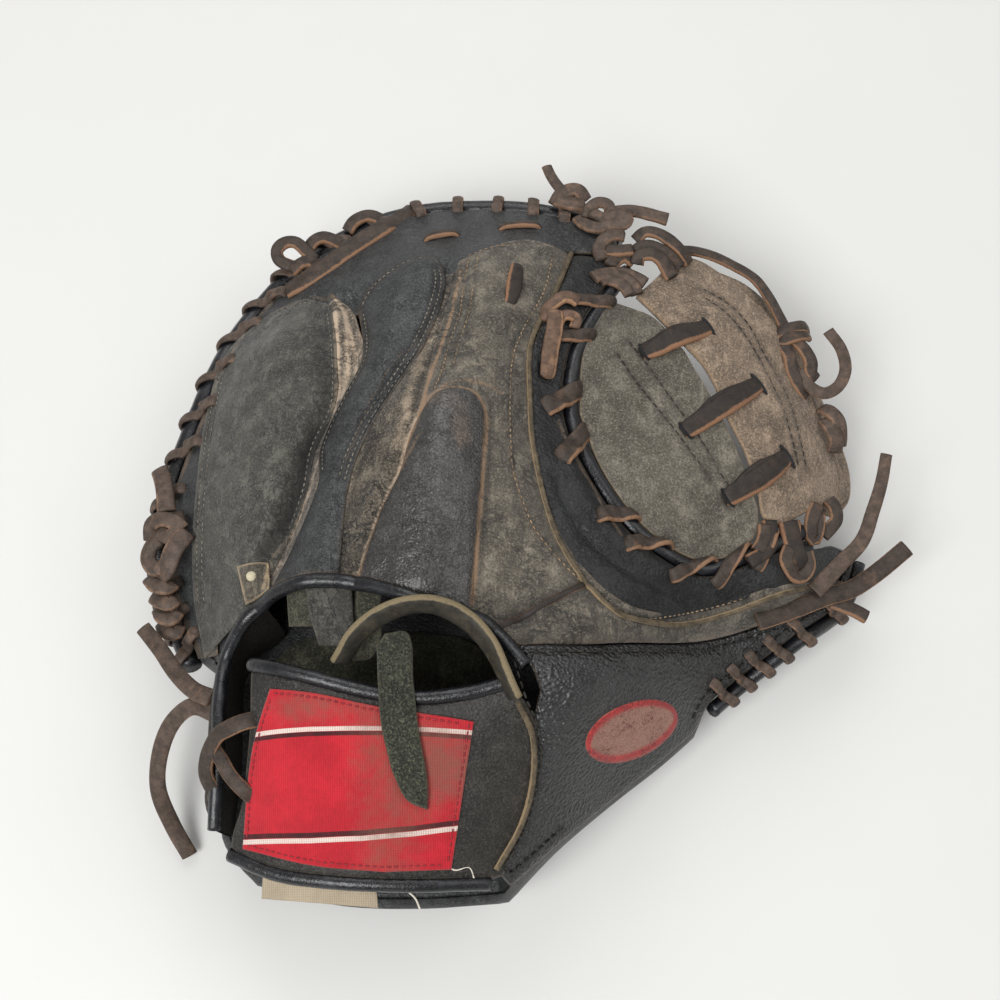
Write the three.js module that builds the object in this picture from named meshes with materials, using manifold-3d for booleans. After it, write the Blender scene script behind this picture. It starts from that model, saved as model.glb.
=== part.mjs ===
// A worn catcher mitt that lies palm down: millimetres, +Z up, the floor at z = 0.
// The fingers point to +Y, the web is at +X and the wrist opens to -Y. It is worn on the left hand.
import * as THREE from "three";
import { mergeVertices } from "three/addons/utils/BufferGeometryUtils.js";
import Module from "manifold-3d";

const wasm = await Module();
wasm.setup();

// Driving dimensions
const GAP = 0.35;
const LEATHER = 2.2;
const CLOTH = 1.0;
const GRID = 15;
const OUTLINE_STEP = 17;
const FACET_TOLERANCE = 0.15;
const PALM_TOLERANCE = 0.62;
const RIM_CORE = 4.2;
const CROTCH_CORE = 3.0;
const THUMB_CORE = 3.0;
const PIPING = 2.6;
const KNOT_STEPS = 13;
const LACE = { width: 5, thickness: 1.8 };
const WRAP_PITCH = 18;
const WRAP_STEPS = 7;
const RIM_INSET = 7.6;
const EDGE_INSET = 7.2;
const THUMB_INSET = 6.3;
const PIPING_INSET = 3.9;
const PLAN_SHIFT = { x: -3.7, y: 2.4 };

// The palm: heel floor of the hand hollow, ball pocket, rolled edge and padding between pocket and hand
const HEEL_FLOOR = 30;
const POCKET = { x: 45, y: 22, halfX: 104, halfY: 84, depth: 46 };
const ROLL = { width: 26, share: 0.5, least: 6, most: 24 };
const POCKET_PADDING = 12;

// Heights of the leather back, one row for each place, each point as [x, y, z]
const BACK_HEIGHTS = [
  {
    place: "rim, wrist to ring finger",
    points: [[-120, -63, 36], [-143, -10, 34], [-137, 30, 36], [-106, 99, 40]],
  },
  { place: "rim, finger tips", points: [[-69, 134, 44], [-9, 146, 48], [44, 136, 52]] },
  { place: "pinky finger", points: [[-112, 0, 60], [-104, 48, 62], [-88, -30, 74], [-75, 85, 68]] },
  {
    place: "ring and middle finger",
    points: [[-60, 40, 84], [-62, -5, 92], [-30, 105, 72], [-25, 60, 88]],
  },
  { place: "index finger", points: [[0, 60, 88], [5, 105, 74], [-14, 28, 100]] },
  { place: "hand back", points: [[-21, -11, 104], [-48, -47, 99], [-88, -48, 82], [4, -66, 97]] },
  { place: "crotch", points: [[30, 114, 66], [12, 31, 86], [22, -27, 90], [52, -49, 80], [109, -37, 56]] },
  { place: "thumb", points: [[30, -90, 84], [60, -78, 60], [99, -69, 20], [43, -113, 34], [140, -35, 22]] },
  { place: "below the thumb", points: [[20, -130, 52], [118, -70, 9], [75, -100, 18]] },
  {
    place: "strap",
    points: [[-96, -80, 80], [-40, -86, 97], [4, -84, 97], [-94, -132, 66], [-43, -148, 74]],
  },
  { place: "strap, right end", points: [[3, -150, 58], [-45, -115, 90]] },
  { place: "inner web", points: [[50, 80, 70], [34, 36, 76], [78, -27, 66], [100, -17, 60], [72, 25, 72]] },
  {
    place: "outer web",
    points: [[82, 111, 56], [110, 80, 56], [128, 67, 44], [120, 25, 56], [153, 11, 26], [146, -12, 28]],
  },
];
const LEAST_HEIGHT = 6;

// Centre lines in plan, each run clockwise round the palm, so that the palm is on their right
const RIM_LINE = [
  [-126, -60], [-139, -32], [-141, 8], [-129, 50], [-111, 93], [-86, 121], [-44, 142], [0, 144],
  [36, 135], [53, 124],
];
const CROTCH_LINE = [
  [54, 103], [43, 84], [31, 58], [28, 30], [36, 5], [54, -20], [76, -30], [101, -22], [126, -8],
];
const THUMB_LINE = [[153, -14], [146, -32], [120, -52], [98, -68], [86, -78]];
const OPENING_LINE = [
  [-104, -128], [-103, -98], [-104, -82], [-103, -64], [-88, -48], [-67, -44], [-50, -46], [-20, -57],
  [-6, -60], [9, -76],
];
const STRAP_TOP_LINE = [[-89, -73], [-65, -80], [-45, -85], [-28, -87], [-10, -85], [2, -82]];
const STRAP_BOTTOM_LINE = [[-97, -134], [-79, -140], [-57, -144], [-32, -146], [-4, -147]];
const STRAP_RIGHT_LINE = [[6, -88], [11, -98], [11, -112], [7, -126], [-2, -142]];
const WELT_LINE = [
  [30, 108], [22, 83], [12, 58], [11, 34], [12, 10], [22, -28], [40, -52], [60, -54], [92, -44],
  [128, -30],
];
const RING_LINE = [[-86, -43], [-76, -20], [-69, -4], [-70, 14], [-61, 38], [-55, 52], [-59, 80]];
const STRIP_LINE = [[-24, 99], [-22, 89], [-26, 66], [-34, 45], [-50, 14], [-56, -6], [-58, -50]];
const MIDDLE_LINE = [[-27, 54], [-30, 17], [-42, -14], [-49, -34], [-50, -54]];
const CREASE_LINE = [[0, -68], [28, -66], [51, -62], [70, -58], [96, -50], [122, -40], [142, -24]];

// Solids
function solidFrom(geometry) {
  const bare = new THREE.BufferGeometry().setAttribute("position", geometry.getAttribute("position"));
  if (geometry.index) {
    bare.setIndex(geometry.index);
  }
  const merged = mergeVertices(bare, 1e-4);
  const triVerts = new Uint32Array(merged.index.array);
  const vertProperties = new Float32Array(merged.attributes.position.array);
  return new wasm.Manifold(new wasm.Mesh({ numProp: 3, vertProperties, triVerts }));
}

function geometryFrom(solid, tolerance = FACET_TOLERANCE) {
  const bodies = solid.decompose();
  bodies.sort((a, b) => b.volume() - a.volume());
  const mesh = bodies[0].simplify(tolerance).getMesh();
  const geometry = new THREE.BufferGeometry();
  geometry.setAttribute("position", new THREE.BufferAttribute(new Float32Array(mesh.vertProperties), 3));
  geometry.setIndex(new THREE.BufferAttribute(new Uint32Array(mesh.triVerts), 1));
  return geometry;
}

// The back surface: a thin-plate spline through the table, read at the corners of one shared grid
function thinPlate(points) {
  const size = points.length + 3;
  const kernel = (r2) => (r2 > 0 ? 0.5 * r2 * Math.log(r2) : 0);
  const rows = points.map(([x, y, z]) => {
    const bends = points.map(([px, py]) => kernel((x - px) ** 2 + (y - py) ** 2));
    return [...bends, 1, x, y, z];
  });
  rows.push([...points.map(() => 1), 0, 0, 0, 0]);
  rows.push([...points.map(([x]) => x), 0, 0, 0, 0]);
  rows.push([...points.map(([, y]) => y), 0, 0, 0, 0]);
  const weights = solve(rows, size);
  return (x, y) => {
    let z = weights[size - 3] + weights[size - 2] * x + weights[size - 1] * y;
    points.forEach(([px, py], i) => {
      z += weights[i] * kernel((x - px) ** 2 + (y - py) ** 2);
    });
    return Math.max(z, LEAST_HEIGHT);
  };
}

function solve(rows, size) {
  for (let col = 0; col < size; col++) {
    let pivot = col;
    for (let row = col + 1; row < size; row++) {
      if (Math.abs(rows[row][col]) > Math.abs(rows[pivot][col])) {
        pivot = row;
      }
    }
    [rows[col], rows[pivot]] = [rows[pivot], rows[col]];
    for (let row = 0; row < size; row++) {
      if (row !== col) {
        const factor = rows[row][col] / rows[col][col];
        for (let k = col; k <= size; k++) {
          rows[row][k] -= factor * rows[col][k];
        }
      }
    }
  }
  return rows.map((row, i) => row[size] / row[i]);
}

const backHeight = thinPlate(BACK_HEIGHTS.flatMap((row) => row.points));

// The height between grid corners, on the two flat triangles of each cell
function facetHeight(surface, x, y, cell = GRID) {
  const column = Math.floor(x / cell);
  const row = Math.floor(y / cell);
  const u = x / cell - column;
  const v = y / cell - row;
  const corner = (i, j) => surface((column + i) * cell, (row + j) * cell);
  if (u >= v) {
    return corner(0, 0) + u * (corner(1, 0) - corner(0, 0)) + v * (corner(1, 1) - corner(1, 0));
  }
  return corner(0, 0) + v * (corner(0, 1) - corner(0, 0)) + u * (corner(1, 1) - corner(0, 1));
}

const back = (x, y) => facetHeight(backHeight, x, y);

// Lines in plan
function planCurve(points) {
  const corners = points.map(([x, y]) => new THREE.Vector3(x, y, 0));
  return new THREE.CatmullRomCurve3(corners, false, "centripetal");
}

function smoothLine(points, step = OUTLINE_STEP) {
  if (points.length < 3) {
    return points;
  }
  const curve = planCurve(points);
  const count = Math.max(2, Math.round(curve.getLength() / step));
  return curve.getSpacedPoints(count).map((p) => [p.x, p.y]);
}

// Moves a line by a distance to the right of its direction, or to the left where it is negative
function beside(points, distance) {
  return points.map(([x, y], i) => {
    const before = points[Math.max(i - 1, 0)];
    const after = points[Math.min(i + 1, points.length - 1)];
    const dx = after[0] - before[0];
    const dy = after[1] - before[1];
    const length = Math.hypot(dx, dy);
    return [x + (distance * dy) / length, y - (distance * dx) / length];
  });
}

const reversed = (points) => [...points].reverse();

// A closed outline from smoothed edges, each of which ends where the next one starts
function outline(...edges) {
  return edges.flatMap((edge, i) => {
    const next = edges[(i + 1) % edges.length][0];
    const line = smoothLine([...edge, next]);
    return line.slice(0, -1);
  });
}

// Moves a closed outline outward all round
function grown(points, distance) {
  const shape = THREE.ShapeUtils.isClockWise(points.map(([x, y]) => new THREE.Vector2(x, y))) ? -1 : 1;
  return points.map(([x, y], i) => {
    const before = points[(i + points.length - 1) % points.length];
    const after = points[(i + 1) % points.length];
    const dx = after[0] - before[0];
    const dy = after[1] - before[1];
    const length = Math.hypot(dx, dy) || 1;
    return [x + (shape * distance * dy) / length, y - (shape * distance * dx) / length];
  });
}

function prism(points, floor = -20, depth = 200) {
  const shape = new THREE.Shape(points.map(([x, y]) => new THREE.Vector2(x, y)));
  const geometry = new THREE.ExtrudeGeometry(shape, { depth, bevelEnabled: false });
  geometry.translate(0, 0, floor);
  return solidFrom(geometry);
}

// A closed block of grid cells between two surfaces, over the box of an outline
function block(points, low, high, cell) {
  const xs = points.map(([x]) => x);
  const ys = points.map(([, y]) => y);
  const from = [Math.floor(Math.min(...xs) / cell), Math.floor(Math.min(...ys) / cell)];
  const to = [Math.ceil(Math.max(...xs) / cell), Math.ceil(Math.max(...ys) / cell)];
  const columns = to[0] - from[0];
  const rows = to[1] - from[1];
  const positions = [];
  for (const surface of [low, high]) {
    for (let j = 0; j <= rows; j++) {
      for (let i = 0; i <= columns; i++) {
        const x = (from[0] + i) * cell;
        const y = (from[1] + j) * cell;
        positions.push(x, y, surface(x, y));
      }
    }
  }
  const corner = (i, j, top) => top * (columns + 1) * (rows + 1) + j * (columns + 1) + i;
  const faces = [];
  for (let j = 0; j < rows; j++) {
    for (let i = 0; i < columns; i++) {
      faces.push(corner(i, j, 1), corner(i + 1, j, 1), corner(i + 1, j + 1, 1));
      faces.push(corner(i, j, 1), corner(i + 1, j + 1, 1), corner(i, j + 1, 1));
      faces.push(corner(i, j, 0), corner(i + 1, j + 1, 0), corner(i + 1, j, 0));
      faces.push(corner(i, j, 0), corner(i, j + 1, 0), corner(i + 1, j + 1, 0));
    }
  }
  const wall = (a, b) => {
    faces.push(corner(...a, 0), corner(...b, 0), corner(...b, 1));
    faces.push(corner(...a, 0), corner(...b, 1), corner(...a, 1));
  };
  for (let i = 0; i < columns; i++) {
    wall([i, 0], [i + 1, 0]);
    wall([i + 1, rows], [i, rows]);
  }
  for (let j = 0; j < rows; j++) {
    wall([columns, j], [columns, j + 1]);
    wall([0, j + 1], [0, j]);
  }
  const geometry = new THREE.BufferGeometry();
  geometry.setAttribute("position", new THREE.Float32BufferAttribute(positions, 3));
  geometry.setIndex(faces);
  return solidFrom(geometry);
}

function layer(points, low, high, cell = GRID) {
  return block(points, low, high, cell).intersect(prism(points));
}

const raised = (surface, distance) => (x, y) => surface(x, y) + distance;

// A path whose section keeps one side turned along a given direction
class GuidedPath extends THREE.Curve {
  constructor(at, upAt) {
    super();
    this.at = at;
    this.upAt = upAt;
  }

  getPoint(t) {
    return this.at(t);
  }

  getSpacedPoints(steps) {
    return this.getPoints(steps);
  }

  computeFrenetFrames(steps) {
    const frames = { tangents: [], normals: [], binormals: [] };
    for (let i = 0; i <= steps; i++) {
      const t = i / steps;
      const tangent = this.getTangent(t);
      const up = this.upAt(t);
      const normal = up.clone().addScaledVector(tangent, -up.dot(tangent)).normalize();
      frames.tangents.push(tangent);
      frames.normals.push(normal);
      frames.binormals.push(new THREE.Vector3().crossVectors(tangent, normal));
    }
    return frames;
  }
}

const UP = new THREE.Vector3(0, 0, 1);

function backNormal(x, y) {
  const reach = 4;
  const dx = (backHeight(x + reach, y) - backHeight(x - reach, y)) / (2 * reach);
  const dy = (backHeight(x, y + reach) - backHeight(x, y - reach)) / (2 * reach);
  return new THREE.Vector3(-dx, -dy, 1).normalize();
}

// A flat lace's section with its long edges rounded off
function laceSection(width, thickness) {
  const x = thickness / 2;
  const y = width / 2;
  const bevel = 0.3 * thickness;
  const corners = [[-x, -y + bevel], [-x + bevel, -y], [x - bevel, -y], [x, -y + bevel]];
  const opposite = corners.map(([a, b]) => [-a, -b]);
  return new THREE.Shape([...corners, ...opposite].map(([a, b]) => new THREE.Vector2(a, b)));
}

function flatSection(width, thickness) {
  const x = thickness / 2;
  const y = width / 2;
  return new THREE.Shape([[-x, -y], [x, -y], [x, y], [-x, y]].map(([a, b]) => new THREE.Vector2(a, b)));
}

function roundSection(radius, sides) {
  const corners = [];
  for (let i = 0; i < sides; i++) {
    const angle = (2 * Math.PI * (i + 0.5)) / sides;
    corners.push(new THREE.Vector2(radius * Math.cos(angle), radius * Math.sin(angle)));
  }
  return new THREE.Shape(corners);
}

function sweep(path, section, steps) {
  return new THREE.ExtrudeGeometry(section, { extrudePath: path, steps, bevelEnabled: false });
}

function curveThrough(points) {
  const corners = points.map(([x, y, z]) => new THREE.Vector3(x, y, z));
  return new THREE.CatmullRomCurve3(corners, false, "centripetal");
}

// A line in plan, at a height above or below the back
function laid(line, above) {
  const plan = planCurve(line);
  return (t) => {
    const p = plan.getPointAt(Math.min(Math.max(t, 0), 1));
    return new THREE.Vector3(p.x, p.y, back(p.x, p.y) + above);
  };
}

// A flat strip that lies on the back: points in plan, each with its clearance to the back
function onBack(points, section, steps) {
  const plan = curveThrough(points);
  const foot = (t) => plan.getPointAt(Math.min(Math.max(t, 0), 1));
  const at = (t) => {
    const { x, y, z } = foot(t);
    return new THREE.Vector3(x, y, back(x, y)).addScaledVector(backNormal(x, y), z);
  };
  const up = (t) => backNormal(foot(t).x, foot(t).y);
  return sweep(new GuidedPath(at, up), section, steps);
}

function piping(line, above, radius, steps) {
  return sweep(new GuidedPath(laid(line, above), () => UP), roundSection(radius, 6), steps);
}

function flatLace(points, steps, section) {
  const curve = curveThrough(points);
  return sweep(new GuidedPath((t) => curve.getPointAt(t), () => UP), section, steps);
}

// A flat lace wound round a core line, one turn for each pitch
function wrappedLace(core, coreRadius, length) {
  const turns = Math.round(length / WRAP_PITCH);
  const facetClearance = coreRadius * (1 - Math.cos(Math.PI / WRAP_STEPS));
  const radius = coreRadius + LACE.thickness / 2 + 2.5 * GAP + facetClearance;
  const start = 0.5 / turns;
  const along = (t) => start + t * (1 - 2 * start);
  const spoke = (t) => {
    const s = along(t);
    const tangent = core(Math.min(s + 0.004, 1)).sub(core(Math.max(s - 0.004, 0))).normalize();
    const side = new THREE.Vector3().crossVectors(tangent, UP).normalize();
    const top = new THREE.Vector3().crossVectors(side, tangent);
    const angle = 2 * Math.PI * turns * s;
    return side.multiplyScalar(Math.cos(angle)).addScaledVector(top, Math.sin(angle));
  };
  const at = (t) => core(along(t)).addScaledVector(spoke(t), radius);
  const section = flatSection(LACE.width, LACE.thickness);
  return sweep(new GuidedPath(at, spoke), section, turns * WRAP_STEPS - WRAP_STEPS);
}

// A tied lump of lace: an open trefoil loop that lies in a tilted plane
function knot(centre, size, turn) {
  const gapAngle = 0.25;
  const spin = new THREE.Euler(turn[0], turn[1], turn[2]);
  const at = (t) => {
    const u = gapAngle + t * (2 * Math.PI - 2 * gapAngle);
    const x = (Math.sin(u) + 2 * Math.sin(2 * u)) / 3;
    const y = (Math.cos(u) - 2 * Math.cos(2 * u)) / 3;
    const z = -0.4 * Math.sin(3 * u);
    const offset = new THREE.Vector3(x, y, z).multiplyScalar(size).applyEuler(spin);
    return offset.add(new THREE.Vector3(...centre));
  };
  const axis = new THREE.Vector3(0, 0, 1).applyEuler(spin);
  return sweep(new GuidedPath(at, () => axis), flatSection(2.6, 1.9), KNOT_STEPS);
}

// The palm's underside: a rolled edge round a flat ring that rises into the ball pocket
const OUTER_LINE = [
  ...beside(RIM_LINE, RIM_INSET), [82, 108], [118, 75], [136, 30], ...beside(THUMB_LINE, THUMB_INSET),
  [63, -98], [43, -113], [20, -132], [2, -150], [-60, -151], [-92, -144], [-105, -128], [-107, -84],
  [-106, -67],
];

function outerDistance(x, y) {
  let nearest = Infinity;
  OUTER_LINE.forEach(([ax, ay], i) => {
    const [bx, by] = OUTER_LINE[(i + 1) % OUTER_LINE.length];
    const along = ((x - ax) * (bx - ax) + (y - ay) * (by - ay)) / ((bx - ax) ** 2 + (by - ay) ** 2);
    const s = Math.min(Math.max(along, 0), 1);
    nearest = Math.min(nearest, Math.hypot(x - ax - s * (bx - ax), y - ay - s * (by - ay)));
  });
  return nearest;
}

function pocketRise(x, y) {
  const reach = Math.hypot((x - POCKET.x) / POCKET.halfX, (y - POCKET.y) / POCKET.halfY);
  if (reach >= 1) {
    return 0;
  }
  const share = 1 - reach * reach;
  return POCKET.depth * share * (2 - share);
}

function palmUnder(x, y) {
  const inward = Math.min(outerDistance(x, y) / ROLL.width, 1);
  const edge = Math.min(Math.max(ROLL.share * backHeight(x, y), ROLL.least), ROLL.most);
  const roll = edge * (1 - Math.sqrt(1 - (1 - inward) ** 2));
  return Math.max(roll, pocketRise(x, y));
}

const handFloor = (x, y) => Math.max(HEEL_FLOOR, pocketRise(x, y) + POCKET_PADDING);

const PALM_OUTLINE = outline(
  beside(RIM_LINE, RIM_INSET),
  beside(CROTCH_LINE, EDGE_INSET),
  [[140, -11]],
  beside(THUMB_LINE, THUMB_INSET),
  [[76, -86], [63, -97], [43, -112], [20, -131]],
  [[2, -149], [-30, -151], [-60, -150]],
  [[-92, -143], [-105, -128], [-107, -84]],
  [[-106, -67]],
);

const HAND_OUTLINE = outline(
  [[-112, -156]],
  [[-112, -70]],
  [[-97, -52], [-107, -20], [-110, 12], [-102, 44], [-78, 66], [-40, 82], [-8, 84], [6, 66], [5, 30]],
  [[8, 0]],
  [[18, -24], [36, -46], [62, -55], [74, -64], [66, -76], [40, -90], [16, -102]],
  [[5, -116]],
  [[3, -156]],
);

function palm() {
  const top = raised(back, -LEATHER - GAP - PALM_TOLERANCE);
  const body = layer(PALM_OUTLINE, palmUnder, top, GRID / 2);
  const hollow = layer(HAND_OUTLINE, handFloor, () => 150);
  return body.subtract(hollow);
}

// The leather pieces of the back, each cut clear of the ones before it
const WELT_EDGE = beside(WELT_LINE, -0.5);
const STRAP_EDGES = {
  top: beside(STRAP_TOP_LINE, PIPING_INSET),
  bottom: reversed(beside(STRAP_BOTTOM_LINE, -PIPING_INSET)),
};

const BACK_PANELS = [
  {
    name: "wrist_strap",
    colour: 0x34373a,
    points: outline(STRAP_EDGES.top, STRAP_RIGHT_LINE, STRAP_EDGES.bottom, [[-92, -119], [-89, -94]]),
  },
  {
    name: "crotch_gusset",
    colour: 0x202225,
    points: outline(WELT_EDGE, reversed(beside(CROTCH_LINE, EDGE_INSET))),
  },
  {
    name: "pinky_panel",
    colour: 0x464642,
    points: outline(
      [[-117, -59], [-121, -36], [-124, 5], [-122, 40], [-114, 72]],
      [[-98, 88]],
      [[-72, 88], [-67, 68], [-65, 34], [-72, 14], [-74, -2], [-80, -20]],
      [[-93, -50]],
    ),
  },
  {
    name: "finger_strip",
    colour: 0x26282a,
    points: outline(
      RING_LINE,
      [[-59, 80], [-53, 90], [-44, 99], [-31, 104]],
      STRIP_LINE,
      [[-58, -60], [-90, -60]],
    ),
  },
  {
    name: "centre_panel",
    colour: 0x2b2b2d,
    points: outline(
      [[-50, -66], [-49, -34], [-42, -14], [-30, 17], [-25, 27], [-16, 33]],
      [[-8, 32], [-5, 23], [-6, -3], [-7, -26]],
      [[-9, -66]],
    ),
  },
  {
    name: "index_panel",
    colour: 0x605a50,
    points: outline(
      [[-30, 17], [-26, 52], [-17, 99]],
      [[-17, 99], [5, 111], [17, 116]],
      WELT_LINE.slice(0, 4),
      [[11, 33]],
    ),
  },
  {
    name: "gap_panel",
    colour: 0x6b5442,
    points: outline(
      [[-95, -60]],
      [[-76, 14], [-70, 34], [-73, 88]],
      [[-56, 82], [-52, 50]],
      [[-66, 14], [-80, -60]],
    ),
  },
  {
    name: "middle_panel",
    colour: 0x5b4c3e,
    points: outline(
      [[-62, -66], [-60, 0], [-40, 40], [-28, 86]],
      [[-20, 86]],
      [...MIDDLE_LINE, [-46, -66]],
    ),
  },
  {
    name: "crotch_panel",
    colour: 0x45433e,
    points: outline(
      [[-10, 35]],
      [[13, 35], [14, 10], [24, -26], [42, -50], [60, -52], [92, -42]],
      [[130, -29]],
      reversed(CREASE_LINE.slice(0, -1)),
      [[-10, -70]],
    ),
  },
  {
    name: "rim_band",
    colour: 0x232527,
    points: outline(
      beside(RIM_LINE, RIM_INSET),
      [[36, 112], [17, 112], [-7, 103], [-20, 96], [-44, 94], [-58, 82]],
      [[-98, 84], [-110, 70], [-118, 40], [-120, 5], [-117, -36]],
      [[-114, -59]],
    ),
  },
  {
    name: "thumb_shell",
    colour: 0x24272a,
    points: outline(
      CREASE_LINE.map(([x, y]) => [x, y + 2]),
      beside(THUMB_LINE, THUMB_INSET),
      [[76, -86], [63, -97], [43, -112], [20, -131]],
      [[6, -146]],
      reversed(STRAP_RIGHT_LINE),
    ),
  },
];

// The plan of the back opening with its piping, which every panel of the back stays clear of
const OPENING_OUTLINE = outline(
  beside(OPENING_LINE, -PIPING_INSET), [[14, -84]], [[-4, -156]], [[-112, -156]],
);

function backPanels() {
  const made = [];
  const opening = prism(OPENING_OUTLINE);
  BACK_PANELS.forEach(({ name, colour, points }, index) => {
    let solid = layer(points, raised(back, -LEATHER), back);
    if (name !== "wrist_strap") {
      solid = solid.subtract(opening);
    }
    for (const earlier of BACK_PANELS.slice(0, index)) {
      solid = solid.subtract(prism(grown(earlier.points, GAP)));
    }
    made.push({ name, colour, solid });
  });
  return made;
}

// The web: two leather ovals joined by laces, with a second layer behind the outer one
const INNER_WEB = outline(
  [[41, 68], [50, 80], [60, 80], [70, 72], [87, 44], [98, 14], [103, -6], [101, -13]],
  [[88, -20], [66, -19], [50, -5], [40, 14], [36, 36], [38, 56]],
);
const OUTER_WEB = outline(
  [[60, 94], [83, 115], [104, 103], [118, 90], [125, 76], [132, 56], [139, 34]], [[146, 12], [132, -1]],
  [[110, -4], [104, 8], [96, 33], [80, 60]],
);
const WEB_BACK = outline(
  [[88, 112], [108, 105], [123, 90], [131, 74], [139, 56], [146, 38]], [[155, 16], [140, 2]],
  [[114, 0], [110, 10], [102, 34], [88, 58]],
);

function webPieces() {
  return [
    { name: "web_inner_panel", colour: 0x5f5a4e, solid: layer(INNER_WEB, raised(back, -LEATHER), back) },
    { name: "web_outer_panel", colour: 0x665d50, solid: layer(OUTER_WEB, raised(back, -LEATHER), back) },
    {
      name: "web_back_layer",
      colour: 0x5a5044,
      solid: layer(WEB_BACK, raised(back, -2 * LEATHER - GAP), raised(back, -LEATHER - GAP)),
    },
  ];
}

const WEB_LACES = [
  { name: "web_lace_1", from: [58, 63], to: [88, 76] },
  { name: "web_lace_2", from: [74, 27], to: [106, 50] },
  { name: "web_lace_3", from: [89, 0], to: [116, 19] },
];

function webLace({ from, to }) {
  const lift = [1.8, 4.0, 4.8, 4.0, 1.8];
  const points = lift.map((above, i) => {
    const s = i / (lift.length - 1);
    return [from[0] + s * (to[0] - from[0]), from[1] + s * (to[1] - from[1]), above];
  });
  return onBack(points, flatSection(8, 2.2), 7);
}

// Pieces laid on the back, each over an outline, between two heights above it
const STRAP_PATCH = outline(
  [[-82, -84], [-64, -86.5], [-45, -90]], [[-9, -95]], [[-17, -142]], [[-40, -141.3], [-65, -138.6]],
  [[-91.5, -131], [-87.5, -102]],
);
const OVAL = { x: 50, y: -92, long: 21, short: 8.6, angle: 0.42 };
const PULL_TAB = outline(
  [[-44, -61]], [[-32, -59], [-29, -87], [-25, -108]], [[-24, -123], [-31, -125]],
  [[-38, -110], [-42, -90]],
);
const PINKY_TAB = outline([[-103, -33]], [[-92, -29]], [[-91, -46]], [[-99, -46]]);

function ellipse({ x, y, long, short, angle }, sides = 20) {
  const points = [];
  for (let i = 0; i < sides; i++) {
    const turn = (2 * Math.PI * i) / sides;
    const a = long * Math.cos(turn);
    const b = short * Math.sin(turn);
    const along = a * Math.cos(angle) - b * Math.sin(angle);
    const across = a * Math.sin(angle) + b * Math.cos(angle);
    points.push([x + along, y + across]);
  }
  return points;
}

const LAID_PIECES = [
  { name: "strap_patch", colour: 0xb0283a, points: STRAP_PATCH, from: GAP, to: GAP + CLOTH },
  { name: "oval_patch", colour: 0xa03c3c, points: ellipse(OVAL), from: GAP, to: GAP + 1.5 },
  { name: "pull_tab", colour: 0x4b4e41, points: PULL_TAB, from: 2.1, to: 4.4 },
  { name: "pinky_tab", colour: 0x5a5a4e, points: PINKY_TAB, from: GAP, to: GAP + 1.4 },
];

function laidPieces() {
  return LAID_PIECES.map(({ name, colour, points, from, to }) => ({
    name,
    colour,
    solid: layer(points, raised(back, from), raised(back, to)),
  }));
}

// Inside the back opening and under the strap
const HEEL_WALL_LINE = OPENING_LINE.slice(0, 5);
const HEEL_WALL = outline(beside(HEEL_WALL_LINE, -1.2), reversed(beside(HEEL_WALL_LINE, 1.2)));
const LINING = outline(
  [[-98, -147]], [[-98, -67], [-82, -51], [-50, -47], [-14, -50]], [[-1, -60]], [[-1, -147]],
);
const STALL = outline([[-80, -32]], [[-52, -32], [-49, -58], [-58, -66], [-72, -64], [-80, -54]]);
const LABEL = outline([[-84, -139]], [[-44, -145]], [[-43, -157]], [[-85, -153]]);

function openingPieces() {
  const stallTop = (x, y) => backHeight(x, y) - LEATHER - GAP - 0.7 * Math.max(0, -40 - y);
  return [
    {
      name: "heel_wall",
      colour: 0x232527,
      solid: layer(HEEL_WALL, () => HEEL_FLOOR + GAP, raised(back, -PIPING - 2.6)),
    },
    {
      name: "hand_lining",
      colour: 0x4a4b40,
      solid: layer(LINING, raised(handFloor, GAP), raised(handFloor, GAP + 2)),
    },
    { name: "finger_stall", colour: 0x55574a, solid: layer(STALL, raised(stallTop, -2), stallTop) },
    { name: "cloth_label", colour: 0xcfc7b0, solid: layer(LABEL, raised(back, -5.6), raised(back, -4.6)) },
  ];
}

// Rolled edges, wound laces and the raw welts
const RIM_DROP = -4;

function edgePieces() {
  const rim = laid(RIM_LINE, RIM_DROP);
  const crotch = laid(CROTCH_LINE, -2);
  const thumb = laid(THUMB_LINE, -1);
  const around = (core, radius, steps) => {
    return sweep(new GuidedPath(core, () => UP), roundSection(radius, 6), steps);
  };
  const lengthOf = (core) => new GuidedPath(core, () => UP).getLength();
  return [
    { name: "rim_binding", colour: 0x1a1b1d, geometry: around(rim, RIM_CORE, 24) },
    { name: "rim_lace", colour: 0x463a36, geometry: wrappedLace(rim, RIM_CORE, lengthOf(rim)) },
    { name: "crotch_binding", colour: 0x1a1b1d, geometry: around(crotch, CROTCH_CORE, 17) },
    { name: "crotch_lace", colour: 0x6b4a38, geometry: wrappedLace(crotch, CROTCH_CORE, lengthOf(crotch)) },
    { name: "thumb_binding", colour: 0x1a1b1d, geometry: around(thumb, THUMB_CORE, 9) },
    { name: "thumb_lace", colour: 0x463a36, geometry: wrappedLace(thumb, THUMB_CORE, lengthOf(thumb)) },
    { name: "opening_binding", colour: 0x151618, geometry: piping(OPENING_LINE, 0, PIPING, 22) },
    { name: "strap_binding_top", colour: 0x151618, geometry: piping(STRAP_TOP_LINE, -1, PIPING, 8) },
    { name: "strap_binding_bottom", colour: 0x151618, geometry: piping(STRAP_BOTTOM_LINE, -1, PIPING, 8) },
  ];
}

const WELT = { width: 2.2, height: 1.2, above: 1.4 };

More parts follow.
